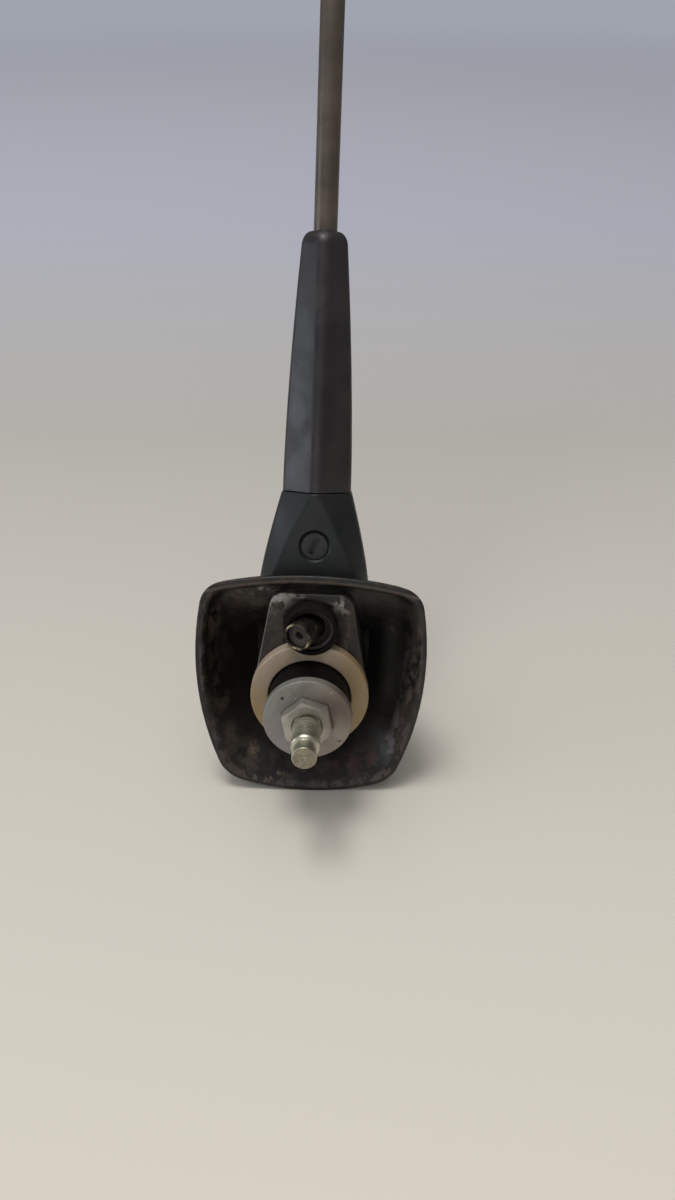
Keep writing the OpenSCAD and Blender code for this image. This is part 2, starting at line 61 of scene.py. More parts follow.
view = {
    "place": (-5.99, 109.58, -182.38),  # mm
    "aim": (-5.4, 22.6, 0.0),
    "up": (0.0373, 0.9018, 0.4306),
    "lens": 28.5,
    "sensor": 36,
    "clip": 0.005,
    "pitch": 38,  # degrees that the camera looks down on the table
}


def makeCamera(v):
    back = (Vector(v["place"]) - Vector(v["aim"])).normalized()
    right = Vector(v["up"]).cross(back).normalized()
    up = back.cross(right)
    turn = Matrix((right, up, back)).transposed().to_4x4()
    data = bpy.data.cameras.new("photoCamera")
    data.lens = v["lens"]
    data.sensor_width = v["sensor"]
    data.clip_start = v["clip"]
    camera = bpy.data.objects.new("photoCamera", data)
    camera.matrix_world = Matrix.Translation(Vector(v["place"]) * mm) @ turn
    scene.collection.objects.link(camera)
    scene.camera = camera
    tilt = math.radians(v["pitch"])
    tableUp = (up * math.cos(tilt) + back * math.sin(tilt)).normalized()
    away = (-back - tableUp * (-back).dot(tableUp)).normalized()
    return tableUp, away


tableUp, tableAway = makeCamera(view)
tableSide = tableAway.cross(tableUp)

stageLook = {
    # The table is painted lighter near the part and darker further back, a painted fall-off of light, and turns
    # blue-grey towards the backdrop.
    "near": (0.82, 0.775, 0.68, 1),
    "middle": (0.52, 0.505, 0.475, 1),
    "far": (0.5, 0.515, 0.6, 1),
    "run": (-0.14, 0.17, 0.42),  # where near, middle and far stand, in metres along the table
    "fade": (0.8, 1.4),
    "size": 4.0,
    "world": (0.352, 0.372, 0.428, 1),
    "worldLight": 0.16,
    "worldTint": (1.0, 0.99, 0.97, 1),
    "lampAim": (0, 20, 0),
    "lamps": (  # name, metres up, sideways and away from the part, width, power, colour
        ("ceilingLamp", (2.0, -0.3, 0), 0.6, 17, (1, 0.985, 0.96)),
        ("softLamp", (2.0, -0.3, 0), 2.4, 17, (1, 0.99, 0.97)),
        ("windowLamp", (0.16, -1.5, -0.25), 0.9, 6.6, (0.78, 0.88, 1.0)),
        ("frontLamp", (0.3, -0.3, -1.5), 1.2, 3.6, (1, 1, 1)),
    ),
}


def nodeTree(material):
    material.use_nodes = True
    tree = material.node_tree
    tree.nodes.clear()
    return tree


def addNode(tree, kind, **values):
    n = tree.nodes.new(kind)
    for key, value in values.items():
        if hasattr(n, key) and key not in n.inputs:
            setattr(n, key, value)
        else:
            n.inputs[key].default_value = value
    return n


def makeStage(look):
    floorLevel = min(v.co.dot(tableUp) for v in cadNodes["base_housing"].data.vertices)
    bm = bmesh.new()
    bmesh.ops.create_grid(bm, x_segments=1, y_segments=1, size=look["size"] / 2)
    place = Matrix((tableSide, tableAway, tableUp)).transposed().to_4x4()
    mesh = bpy.data.meshes.new("tableTop")
    bm.to_mesh(mesh)
    bm.free()
    table = bpy.data.objects.new("tableTop", mesh)
    table.matrix_world = Matrix.Translation(tableUp * floorLevel) @ place
    scene.collection.objects.link(table)
    material = bpy.data.materials.new("paleTable")
    tree = nodeTree(material)
    coords = addNode(tree, "ShaderNodeTexCoord")
    split = addNode(tree, "ShaderNodeSeparateXYZ")
    depth, beyond = addNode(tree, "ShaderNodeMapRange"), addNode(tree, "ShaderNodeMapRange")
    fade = addNode(tree, "ShaderNodeMapRange", interpolation_type="SMOOTHSTEP")
    # painted fall-off of light: the table's colour darkens with distance along it
    near, middle, far = look["run"]
    for share, low, high in ((depth, near, middle), (beyond, middle, far), (fade, *look["fade"])):
        share.inputs["From Min"].default_value = low
        share.inputs["From Max"].default_value = high
    blend = addNode(tree, "ShaderNodeMix", data_type="RGBA")
    blend.inputs[6].default_value = look["near"]
    blend.inputs[7].default_value = look["middle"]
    cool = addNode(tree, "ShaderNodeMix", data_type="RGBA")
    cool.inputs[7].default_value = look["far"]
    cloth = addNode(tree, "ShaderNodeBsdfDiffuse")
    clear = addNode(tree, "ShaderNodeBsdfTransparent")
    reach = addNode(tree, "ShaderNodeVectorMath", operation="LENGTH")
    side = addNode(tree, "ShaderNodeNewGeometry")
    gone = addNode(tree, "ShaderNodeMath", operation="MAXIMUM")
    mix = addNode(tree, "ShaderNodeMixShader")
    out = addNode(tree, "ShaderNodeOutputMaterial")
    link = tree.links.new
    link(coords.outputs["Object"], split.inputs[0])
    link(split.outputs["Y"], depth.inputs["Value"])
    link(split.outputs["Y"], beyond.inputs["Value"])
    link(depth.outputs[0], blend.inputs[0])
    link(beyond.outputs[0], cool.inputs[0])
    link(blend.outputs[2], cool.inputs[6])
    link(cool.outputs[2], cloth.inputs["Color"])
    link(coords.outputs["Object"], reach.inputs[0])
    link(reach.outputs["Value"], fade.inputs["Value"])
    link(fade.outputs[0], gone.inputs[0])
    link(side.outputs["Backfacing"], gone.inputs[1])
    link(gone.outputs[0], mix.inputs[0])
    link(cloth.outputs[0], mix.inputs[1])
    link(clear.outputs[0], mix.inputs[2])
    link(mix.outputs[0], out.inputs["Surface"])
    table.data.materials.append(material)


def makeLight(look):
    world = bpy.data.worlds.new("studio")
    scene.world = world
    world.use_nodes = True
    tree = world.node_tree
    tree.nodes.clear()
    light = addNode(tree, "ShaderNodeBackground", Color=look["worldTint"], Strength=look["worldLight"])
    seen = addNode(tree, "ShaderNodeBackground", Color=look["world"], Strength=1.0)
    path = addNode(tree, "ShaderNodeLightPath")
    mix = addNode(tree, "ShaderNodeMixShader")
    out = addNode(tree, "ShaderNodeOutputWorld")
    tree.links.new(path.outputs["Is Camera Ray"], mix.inputs[0])
    tree.links.new(light.outputs[0], mix.inputs[1])
    tree.links.new(seen.outputs[0], mix.inputs[2])
    tree.links.new(mix.outputs[0], out.inputs["Surface"])
    centre = Vector(look["lampAim"]) * mm
    for name, (rise, side, away), width, power, colour in look["lamps"]:
        data = bpy.data.lights.new(name, "AREA")
        data.size, data.energy, data.color = width, power, colour
        lamp = bpy.data.objects.new(name, data)
        lamp.location = centre + tableUp * rise + tableSide * side + tableAway * away
        lamp.rotation_mode = "QUATERNION"
        lamp.rotation_quaternion = (centre - lamp.location).to_track_quat("-Z", "Y")
        scene.collection.objects.link(lamp)


makeStage(stageLook)
makeLight(stageLook)
scene.view_settings.view_transform = "Standard"
print("camera, stage and lamps made")

# materials


def newLook(name, colour, roughness, metallic=0.0, specular=0.5):
    material = bpy.data.materials.new(name)
    tree = nodeTree(material)
    shader = addNode(tree, "ShaderNodeBsdfPrincipled")
    shader.inputs["Base Color"].default_value = (*colour, 1)
    shader.inputs["Roughness"].default_value = roughness
    shader.inputs["Metallic"].default_value = metallic
    shader.inputs["Specular IOR Level"].default_value = specular
    out = addNode(tree, "ShaderNodeOutputMaterial")
    tree.links.new(shader.outputs[0], out.inputs["Surface"])
    coords = addNode(tree, "ShaderNodeTexCoord")
    return material, tree, shader, coords


def noiseAt(tree, coords, scale, detail=4.0, rough=0.55, stretch=None):
    n = addNode(tree, "ShaderNodeTexNoise")
    n.inputs["Scale"].default_value = scale
    n.inputs["Detail"].default_value = detail
    n.inputs["Roughness"].default_value = rough
    source = coords.outputs["Object"]
    if stretch:
        m = addNode(tree, "ShaderNodeMapping")
        m.inputs["Scale"].default_value = stretch
        tree.links.new(source, m.inputs["Vector"])
        source = m.outputs[0]
    tree.links.new(source, n.inputs["Vector"])
    return n.outputs["Fac"]


def ramp(tree, value, low, high, floor=0.0, top=1.0):
    n = addNode(tree, "ShaderNodeMapRange", interpolation_type="SMOOTHSTEP")
    n.inputs["From Min"].default_value = low
    n.inputs["From Max"].default_value = high
    n.inputs["To Min"].default_value = floor
    n.inputs["To Max"].default_value = top
    tree.links.new(value, n.inputs["Value"])
    return n.outputs[0]


def roughOf(tree, value, w, roughness):
    less, more = w["spread"]
    return ramp(tree, value, *w["roughFrom"], roughness - less, roughness + more)


def paint(tree, shader, colour, rough):
    tree.links.new(colour, shader.inputs["Base Color"])
    tree.links.new(rough, shader.inputs["Roughness"])


def recipe(tree, coords, w):
    def band(value, name):
        return ramp(tree, value, *w["bands"][name])

    def noise(name):
        return noiseAt(tree, coords, *w["noises"][name])

    return band, noise


def combine(tree, kind, a, b):
    n = addNode(tree, "ShaderNodeMath", operation=kind)
    tree.links.new(a, n.inputs[0])
    if isinstance(b, (int, float)):
        n.inputs[1].default_value = b
    else:
        tree.links.new(b, n.inputs[1])
    return n.outputs[0]


def times(tree, first, *others):
    for other in others:
        first = combine(tree, "MULTIPLY", first, other)
    return first


def mixColour(tree, share, a, b):
    n = addNode(tree, "ShaderNodeMix", data_type="RGBA")
    tree.links.new(share, n.inputs[0])
    for socket, value in ((n.inputs[6], a), (n.inputs[7], b)):
        if isinstance(value, tuple):
            socket.default_value = (*value, 1)
        else:
            tree.links.new(value, socket)
    return n.outputs[2]


def axisValue(tree, coords, axis):
    split = addNode(tree, "ShaderNodeSeparateXYZ")
    tree.links.new(coords.outputs["Object"], split.inputs[0])
    return split.outputs[axis]


def normalValue(tree, axis):
    where = addNode(tree, "ShaderNodeNewGeometry")
    split = addNode(tree, "ShaderNodeSeparateXYZ")
    tree.links.new(where.outputs["Normal"], split.inputs[0])
    return split.outputs[axis]


def towardsStud(tree, coords):
    where = addNode(tree, "ShaderNodeNewGeometry")
    flat = addNode(tree, "ShaderNodeVectorMath", operation="MULTIPLY")
    flat.inputs[1].default_value = (1, 1, 0)
    dot = addNode(tree, "ShaderNodeVectorMath", operation="DOT_PRODUCT")
    tree.links.new(coords.outputs["Object"], flat.inputs[0])
    tree.links.new(flat.outputs[0], dot.inputs[0])
    tree.links.new(where.outputs["Normal"], dot.inputs[1])
    return dot.outputs["Value"]


def distanceTo(tree, coords, centre, reach):
    away = addNode(tree, "ShaderNodeVectorMath", operation="SUBTRACT")
    away.inputs[1].default_value = Vector(centre) * mm
    scaled = addNode(tree, "ShaderNodeVectorMath", operation="DIVIDE")
    scaled.inputs[1].default_value = Vector(reach) * mm
    far = addNode(tree, "ShaderNodeVectorMath", operation="LENGTH")
    tree.links.new(coords.outputs["Object"], away.inputs[0])
    tree.links.new(away.outputs[0], scaled.inputs[0])
    tree.links.new(scaled.outputs[0], far.inputs[0])
    return far.outputs["Value"]


def spotAt(tree, coords, centre, reach, soft=0.3):
    return ramp(tree, distanceTo(tree, coords, centre, reach), 1.0, soft)


def addBump(tree, shader, height, strength, distance):
    n = addNode(tree, "ShaderNodeBump")
    n.inputs["Strength"].default_value = strength
    n.inputs["Distance"].default_value = distance
    tree.links.new(height, n.inputs["Height"])
    tree.links.new(n.outputs[0], shader.inputs["Normal"])


plasticGrain = {
    "noises": {"patches": (90, 5), "rough": (160, 4)},  # scale, detail, roughness, stretch
    "bands": {"patches": (0.35, 0.7)},
    "roughFrom": (0.3, 0.7),
    "spread": (0.08, 0.1),  # how far the roughness goes below and above its value
    "detail": 3,
    "bump": 0.5,
}
metalGrain = {
    "noises": {"patches": (140, 6, 0.6), "rough": (260, 5), "relief": (700, 4, 0.6)},
    "bands": {"patches": (0.35, 0.68)},
    "roughFrom": (0.3, 0.7),
    "spread": (0.1, 0.15),
    "bump": (0.4, 0.00005),
}


def grainOf(tree, shader, coords, grain, colour, other, roughness):
    band, noise = recipe(tree, coords, grain)
    colour = mixColour(tree, band(noise("patches"), "patches"), colour, other)
    paint(tree, shader, colour, roughOf(tree, noise("rough"), grain, roughness))


def plasticLook(name, colour, pale, roughness, grain=900, depth=0.00006, specular=0.5):
    material, tree, shader, coords = newLook(name, colour, roughness, specular=specular)
    grainOf(tree, shader, coords, plasticGrain, colour, pale, roughness)
    addBump(tree, shader, noiseAt(tree, coords, grain, plasticGrain["detail"]), plasticGrain["bump"], depth)
    return material


def metalLook(name, colour, dull, roughness, metallic=0.9):
    material, tree, shader, coords = newLook(name, colour, roughness, metallic=metallic)
    grainOf(tree, shader, coords, metalGrain, colour, dull, roughness)
    addBump(tree, shader, noiseAt(tree, coords, *metalGrain["noises"]["relief"]), *metalGrain["bump"])
    return material


baseWear = {
    "plain": (0.01, 0.0084, 0.0074),
    "deep": (0.019, 0.0155, 0.0135),
    "outside": (0.0095, 0.009, 0.0086),
    "rear": (0.0125, 0.012, 0.0116),
    # painted highlight for the lit inner wall at the rear on the -X side
    "rearWallHighlight": (0.062, 0.06, 0.06),
    "rimBow": (64.24, 91.0, 90.5),  # centre behind the stud and radii of the painted highlight line on the rear rim
    "residue": (0.04, 0.03, 0.0225),
    # pale colour for dust marks, and for the painted highlight along the pedestal's rear edge
    "dustAndHighlight": (0.085, 0.072, 0.064),
    # painted highlight colour for the rear rim line and for the rim's inner lip
    "rimHighlight": (0.086, 0.066, 0.057),
    "mauve": (0.082, 0.03, 0.037),
    "purple": (0.08, 0.066, 0.074),
    "clay": (0.115, 0.088, 0.064),
    "bright": (0.27, 0.25, 0.235),
    "roughness": 0.44,
    "roughFrom": (0.35, 0.65),
    "spread": (0.08, 0.18),
    "outsideGloss": 0.09,
    "residueShare": 0.7,
    "lipHighlightShare": 0.6,
    "scratchShare": 0.4,
    "fineShare": 0.35,
    "bump": (0.6, 0.00022),
    "noises": {
        "broad": (190, 7, 0.6),
        "brushed": (330, 5, 0.6, (1, 0.6, 1)),
        "speckled": (720, 7, 0.7, (1, 0.7, 1)),
        "fine": (1400, 3),
    },
    "bands": {  # from and to, in metres or as a part of the normal or noise, then the floor and top
        "brushed": (0.46, 0.53),
        "speckled": (0.46, 0.6),
        "inward": (0.0006, -0.0006),
        "down": (-0.05, -0.25),
        "deep": (0.004, 0.013),
        "rearStart": (-0.012, -0.002),
        "rearSide": (0.004, -0.006),
        "litWall": (-0.015, -0.0185),
        "shallow": (0.009, 0.001),
        "residue": (0.49, 0.555),
        "rimFace": (0.0009, 0.0003),
        "rimRear": (0.02, 0.023),
        "lineBreaks": (0.3, 0.6, 0.45, 0.95),
        "scratchStart": (0.0075, 0.0082),
        "scratchEnd": (0.0138, 0.013),
        "scratchTurn": (0.15, 0.45),
        "scratchLow": (0.0012, 0.0005),
        "scratchRear": (0.003, 0.006),
        "gloss": (0.002, 0.012, 0.4, 0.12),
    },
    "spots": (  # place and reach in mm, tint, strength, which noise breaks it up
        ((-8.5, -21, 2.8), (4.5, 2.6, 3.5), "mauve", 0.7, "brushed"),
        ((-14, -19.5, 2.5), (4.5, 3.5, 3.5), "mauve", 0.45, "brushed"),
        ((-13, -20, 4), (5, 4, 5), "residue", 0.7, "speckled"),
        ((-19, -15, 1.8), (3.2, 5, 3.5), "purple", 0.85, "brushed"),
        ((-20.3, -9.5, 2.2), (2.4, 5, 3.5), "purple", 0.8, "brushed"),
        ((-22.6, -2.5, 1.4), (2.0, 4.5, 3.0), "clay", 0.75, "brushed"),
        ((-22.8, 7, 1.6), (2.2, 9, 3.0), "dustAndHighlight", 0.85, "speckled"),
        ((-21.4, 3, 4.0), (2.6, 11, 4.0), "purple", 0.6, "speckled"),
        ((-18.3, 11.4, 9.4), (1.0, 1.6, 2.6), "bright", 0.3, "speckled"),
        ((9, -23.7, 0.8), (6.5, 1.6, 1.8), "clay", 0.95, "brushed"),
        ((14.5, -20, 2.6), (4.5, 3.5, 3), "residue", 0.75, "brushed"),
        ((12.8, -18.7, 4), (2.4, 2.2, 3), "clay", 0.75, "brushed"),
        ((18, -14.5, 3), (3, 4.5, 4), "residue", 0.95, "brushed"),
        ((22, 2, 2.5), (3, 14, 5), "residue", 0.7, "brushed"),
        ((20, -6, 5), (3, 3, 4), "clay", 0.25, "brushed"),
        ((21.6, 14, 3), (3, 6, 5), "clay", 0.4, "brushed"),
        ((13.5, 17, 9), (8, 8, 9), "residue", 0.85, "speckled"),
        ((18.5, 8, 9), (5, 9, 7), "residue", 0.6, "brushed"),
        ((16.5, 22, 2.6), (1.6, 1.2, 2.4), "dustAndHighlight", 0.7, "brushed"),
        ((15.5, 20, 3.6), (7, 5, 5), "residue", 0.95, "brushed"),
        ((15.4, 21.5, 3.4), (1.5, 1.0, 2), "dustAndHighlight", 0.8, "speckled"),
        ((12.3, 21.2, 3.6), (1.5, 1.1, 2), "bright", 0.8, "speckled"),
        ((10.6, 23.4, 2.7), (1.7, 0.8, 2), "bright", 0.7, "brushed"),
        ((18, 18.6, 4), (4, 2.5, 4), "mauve", 0.35, "brushed"),
        ((17.2, 20.6, 2.4), (2.6, 1.3, 2.2), "dustAndHighlight", 0.75, "brushed"),
        ((20.6, 16.5, 2.6), (2.0, 3.4, 3.0), "purple", 0.55, "brushed"),
        ((12.0, 19.0, 6.0), (3.0, 2.2, 4.0), "dustAndHighlight", 0.45, "brushed"),
        # the next spots lie on the pedestal's rear edge: partly pale dust, partly a painted highlight where that
        # edge is lit from above
        ((6.6, 21.2, 0), (4.4, 4.0, 1.4), "dustAndHighlight", 0.75, "brushed"),
        ((-5.2, 21.8, 0), (4.2, 2.8, 1.4), "dustAndHighlight", 0.6, "brushed"),
        ((6.8, 22.0, 0), (4.0, 2.6, 1.2), "bright", 0.9, "brushed"),
        ((3.2, 23.1, 0.2), (3.0, 0.9, 1.2), "bright", 0.45, "brushed"),
        ((8.2, 19.8, 0), (1.6, 2.8, 1.2), "dustAndHighlight", 0.9, "speckled"),
        ((-4.6, 23.0, 0.2), (3.2, 1.1, 1.2), "dustAndHighlight", 0.95, "brushed"),
        ((-6.4, 20.8, 0), (2.8, 2.6, 1.4), "bright", 0.8, "brushed"),
        ((-7.2, 16.8, 0), (1.6, 2.6, 1.2), "dustAndHighlight", 0.6, "speckled"),
        ((-12.5, 21, 3.6), (2.6, 3, 3), "dustAndHighlight", 0.25, "speckled"),
    ),
}


def baseLook(w):
    material, tree, shader, coords = newLook("wornMoulding", w["plain"], w["roughness"])
    height, acrossX = axisValue(tree, coords, "Z"), axisValue(tree, coords, "X")
    alongY = axisValue(tree, coords, "Y")
    band, noise = recipe(tree, coords, w)
    inward = band(towardsStud(tree, coords), "inward")
    inside = combine(tree, "MAXIMUM", inward, band(normalValue(tree, "Z"), "down"))
    broad = noise("broad")
    broken = {kind: band(noise(kind), kind) for kind in ("brushed", "speckled")}
    deep = band(height, "deep")
    colour = mixColour(tree, inside, w["outside"], mixColour(tree, deep, w["plain"], w["deep"]))
    rear = times(tree, band(alongY, "rearStart"), band(acrossX, "rearSide"))
    # the rear of the hollow gets its own tone, with a painted highlight on the lit wall deep inside on the -X side
    rearToneAndWallLight = mixColour(tree, times(tree, deep, band(acrossX, "litWall")), w["rear"], w["rearWallHighlight"])
    colour = mixColour(tree, times(tree, rear, inside), colour, rearToneAndWallLight)
    residue = times(tree, band(broad, "residue"), times(tree, band(height, "shallow"), inside))
    colour = mixColour(tree, times(tree, residue, w["residueShare"]), colour, w["residue"])
    # painted highlight: a light line along the rear rim's face, broken up by noise
    centre, outer, inner = w["rimBow"]
    low = band(height, "rimFace")
    bow = distanceTo(tree, coords, (0, -centre, 0), (1, 1, 1))
    rimHighlightLine = times(tree, ramp(tree, bow, outer + 0.15, outer - 0.1), ramp(tree, bow, inner - 0.3, inner))
    rimHighlightLine = times(tree, rimHighlightLine, low, band(alongY, "rimRear"), band(broad, "lineBreaks"))
    colour = mixColour(tree, rimHighlightLine, colour, w["rimHighlight"])
    # painted highlight on the rim's inner lip, broken up by the brushed noise
    lip = times(tree, low, inward, broken["brushed"], w["lipHighlightShare"])
    colour = mixColour(tree, lip, colour, w["rimHighlight"])
    for centre, reach, tint, strength, kind in w["spots"]:
        share = times(tree, spotAt(tree, coords, centre, reach), broken[kind], strength, inside)
        colour = mixColour(tree, share, colour, w[tint])
    edgeX = times(tree, band(acrossX, "scratchStart"), band(acrossX, "scratchEnd"))
    edge = times(tree, band(normalValue(tree, "X"), "scratchTurn"), band(height, "scratchLow"))
    scratched = times(tree, edge, edgeX, band(alongY, "scratchRear"), w["scratchShare"])
    colour = mixColour(tree, scratched, colour, w["bright"])
    paint(tree, shader, colour, roughOf(tree, broad, w, w["roughness"]))
    gloss = combine(tree, "MAXIMUM", times(tree, band(height, "gloss"), inside), w["outsideGloss"])
    tree.links.new(gloss, shader.inputs["Specular IOR Level"])
    fine = times(tree, noise("fine"), w["fineShare"])
    addBump(tree, shader, combine(tree, "ADD", fine, times(tree, broad, inside)), *w["bump"])
    return material


ringWear = {
    "clean": (0.37, 0.295, 0.225),
    "stained": (0.275, 0.19, 0.09),
    "dirt": (0.1, 0.07, 0.045),
    "roughness": 0.42,
    "roughFrom": (0, 1),
    "spread": (0, 0.15),
    "blotchShare": 0.45,
    "dirtShare": 0.5,
    "bump": (0.4, 0.00008),
    "noises": {"blotch": (150, 6, 0.6), "grime": (420, 8, 0.7), "fine": (700, 5)},
    "bands": {
        "sides": (0.003, 0.012),
        "low": (0.009, -0.004),
        "right": (-0.003, -0.01, 0, 0.9),
        "blotch": (0.36, 0.62),
        "grime": (0.6, 0.74),
    },
}


def ringLook(w):
    material, tree, shader, coords = newLook("yellowedNylon", w["clean"], w["roughness"])
    band, noise = recipe(tree, coords, w)
    acrossX = axisValue(tree, coords, "X")
    sides = band(combine(tree, "ABSOLUTE", acrossX, 0), "sides")
    low = band(axisValue(tree, coords, "Y"), "low")
    blotch = band(noise("blotch"), "blotch")
    stain = combine(tree, "MAXIMUM", times(tree, sides, low), times(tree, blotch, w["blotchShare"]))
    stain = combine(tree, "MAXIMUM", stain, band(acrossX, "right"))
    colour = mixColour(tree, stain, w["clean"], w["stained"])
    grime = times(tree, band(noise("grime"), "grime"), w["dirtShare"])
    colour = mixColour(tree, grime, colour, w["dirt"])
    paint(tree, shader, colour, roughOf(tree, blotch, w, w["roughness"]))
    addBump(tree, shader, noise("fine"), *w["bump"])
    return material


discWear = {
    "clean": (0.252, 0.236, 0.236),
    "upper": (0.25, 0.25, 0.228),
    "lower": (0.265, 0.232, 0.198),
    "warm": (0.145, 0.11, 0.096),
    "pit": (0.07, 0.045, 0.045),
    "white": (0.75, 0.75, 0.75),
    "roughness": 0.46,
    "roughFrom": (0.35, 0.65),
    "spread": (0.06, 0.16),
    "metallic": 0.5,
    "warmSpot": ((-8.2, 4.2, -12.3), (7.5, 8, 6), 0.2),  # centre and reach in mm, softness
    "pitSpot": ((5.3, 5.2, -12.3), (0.5, 0.55, 0.8), 0.4),
    "nickSpot": ((-6.9, -4.9, -12.3), (0.8, 0.35, 0.8), 0.4),
    "rightShare": 0.9,
    "warmShare": 0.9,
    "fleckShare": 0.7,
    "nickShare": 0.7,
    "fineShare": 0.3,
    "bump": (0.7, 0.00018),
    "noises": {"cloud": (190, 7, 0.6), "flecks": (1250, 3, 0.5), "fine": (800, 5)},
    "bands": {
        "top": (-0.002, 0.008),
        "right": (0.003, -0.005),
        "cloud": (0.52, 0.75, 0, 0.5),
        "flecks": (0.7, 0.76),
    },
}


def discLook(w):
    material, tree, shader, coords = newLook("dullZinc", w["clean"], w["roughness"], w["metallic"])
    band, noise = recipe(tree, coords, w)
    cloud = noise("cloud")
    top = band(axisValue(tree, coords, "Y"), "top")
    colour = mixColour(tree, top, w["clean"], w["upper"])
    right = times(tree, band(axisValue(tree, coords, "X"), "right"), w["rightShare"])
    colour = mixColour(tree, right, colour, w["lower"])
    warm = times(tree, spotAt(tree, coords, *w["warmSpot"]), w["warmShare"])
    warm = combine(tree, "MAXIMUM", warm, band(cloud, "cloud"))
    colour = mixColour(tree, warm, colour, w["warm"])
    flecks = times(tree, band(noise("flecks"), "flecks"), top, w["fleckShare"])
    colour = mixColour(tree, flecks, colour, w["white"])
    pit, nick = spotAt(tree, coords, *w["pitSpot"]), spotAt(tree, coords, *w["nickSpot"])
    dent = combine(tree, "MAXIMUM", pit, times(tree, nick, w["nickShare"]))
    colour = mixColour(tree, dent, colour, w["pit"])
    paint(tree, shader, colour, roughOf(tree, cloud, w, w["roughness"]))
    relief = combine(tree, "SUBTRACT", times(tree, noise("fine"), w["fineShare"]), dent)
    addBump(tree, shader, relief, *w["bump"])
    return material


studWear = {
    "plated": (0.56, 0.55, 0.44),
    "dull": (0.37, 0.345, 0.25),
    "end": (0.25, 0.225, 0.17),
    "roughness": 0.34,
    "endRoughness": 0.55,
    "roughFrom": (0.3, 0.7),
    "spread": (0.1, 0.15),
    "metallic": 0.9,
    "pitch": 0.001,
    "threadShare": 0.6,
    "bump": (0.4, 0.0001),
    "noises": {
        "patches": (160, 6, 0.6),
        "spotted": (900, 4),
        "rough": (260, 5),
        "grain": (1100, 4, 0.6, (1, 1, 5)),
    },
    "bands": {
        "patches": (0.35, 0.68),
        "endLow": (-0.0258, -0.0261),
        "endTurn": (-0.7, -0.95),
        "spotted": (0.35, 0.65, 0.55, 1.0),
        "threadLow": (-0.0222, -0.0218),
        "threadHigh": (-0.0148, -0.0152),
    },
}


def studLook(w):
    material, tree, shader, coords = newLook("zincPlate", w["plated"], w["roughness"], w["metallic"])
    band, noise = recipe(tree, coords, w)
    height = axisValue(tree, coords, "Z")
    colour = mixColour(tree, band(noise("patches"), "patches"), w["plated"], w["dull"])
    face = times(tree, band(height, "endLow"), band(normalValue(tree, "Z"), "endTurn"))
    spotted = band(noise("spotted"), "spotted")
    colour = mixColour(tree, times(tree, face, spotted), colour, w["end"])
    rough = roughOf(tree, noise("rough"), w, w["roughness"])
    rough = combine(tree, "MAXIMUM", rough, times(tree, face, w["endRoughness"]))
    paint(tree, shader, colour, rough)
    turns = addNode(tree, "ShaderNodeMath", operation="SINE")
    tree.links.new(times(tree, height, 2 * math.pi / w["pitch"]), turns.inputs[0])
    threaded = times(tree, band(height, "threadLow"), band(height, "threadHigh"))
    ridges = times(tree, turns.outputs[0], threaded, w["threadShare"])
    addBump(tree, shader, combine(tree, "ADD", noise("grain"), ridges), *w["bump"])
    return material


barrelWear = {
    "dull": (0.062, 0.053, 0.043),
    "stained": (0.022, 0.019, 0.017),
    "paintedGlint": (0.42, 0.36, 0.22),
    "roughness": 0.38,
    "roughFrom": (0.3, 0.7),
    "spread": (0.1, 0.15),
    "metallic": 0.85,
    "bump": (0.5, 0.00008),
    "noises": {"patches": (420, 6, 0.6), "glintBreakup": (800, 6, 0.6), "rough": (300, 5), "fine": (900, 4)},
    "bands": {"patches": (0.4, 0.62), "glintBreakup": (0.4, 0.58)},
    "glintSpots": (  # painted glints where the rim catches the light, centre and reach in mm
        ((0.4, 15.9, -7.2), (1.4, 2.2, 1.2)),
        ((2.9, 13.5, -6.0), (2.4, 1.1, 1.0)),
        ((4.6, 18.3, -5.3), (1.6, 1.7, 1.2)),
        ((-0.6, 17.6, -3.2), (1.1, 1.0, 2.2)),
    ),
}


def barrelLook(w):
    material, tree, shader, coords = newLook("tarnishedBrass", w["dull"], w["roughness"], w["metallic"])
    band, noise = recipe(tree, coords, w)
    colour = mixColour(tree, band(noise("patches"), "patches"), w["dull"], w["stained"])
    glintBreakup = band(noise("glintBreakup"), "glintBreakup")
    # painted glints: bright brass spots on the rim where light catches it, broken up by noise
    for centre, reach in w["glintSpots"]:
        share = times(tree, spotAt(tree, coords, centre, reach), glintBreakup)
        colour = mixColour(tree, share, colour, w["paintedGlint"])
    paint(tree, shader, colour, roughOf(tree, noise("rough"), w, w["roughness"]))
    addBump(tree, shader, noise("fine"), *w["bump"])
    return material


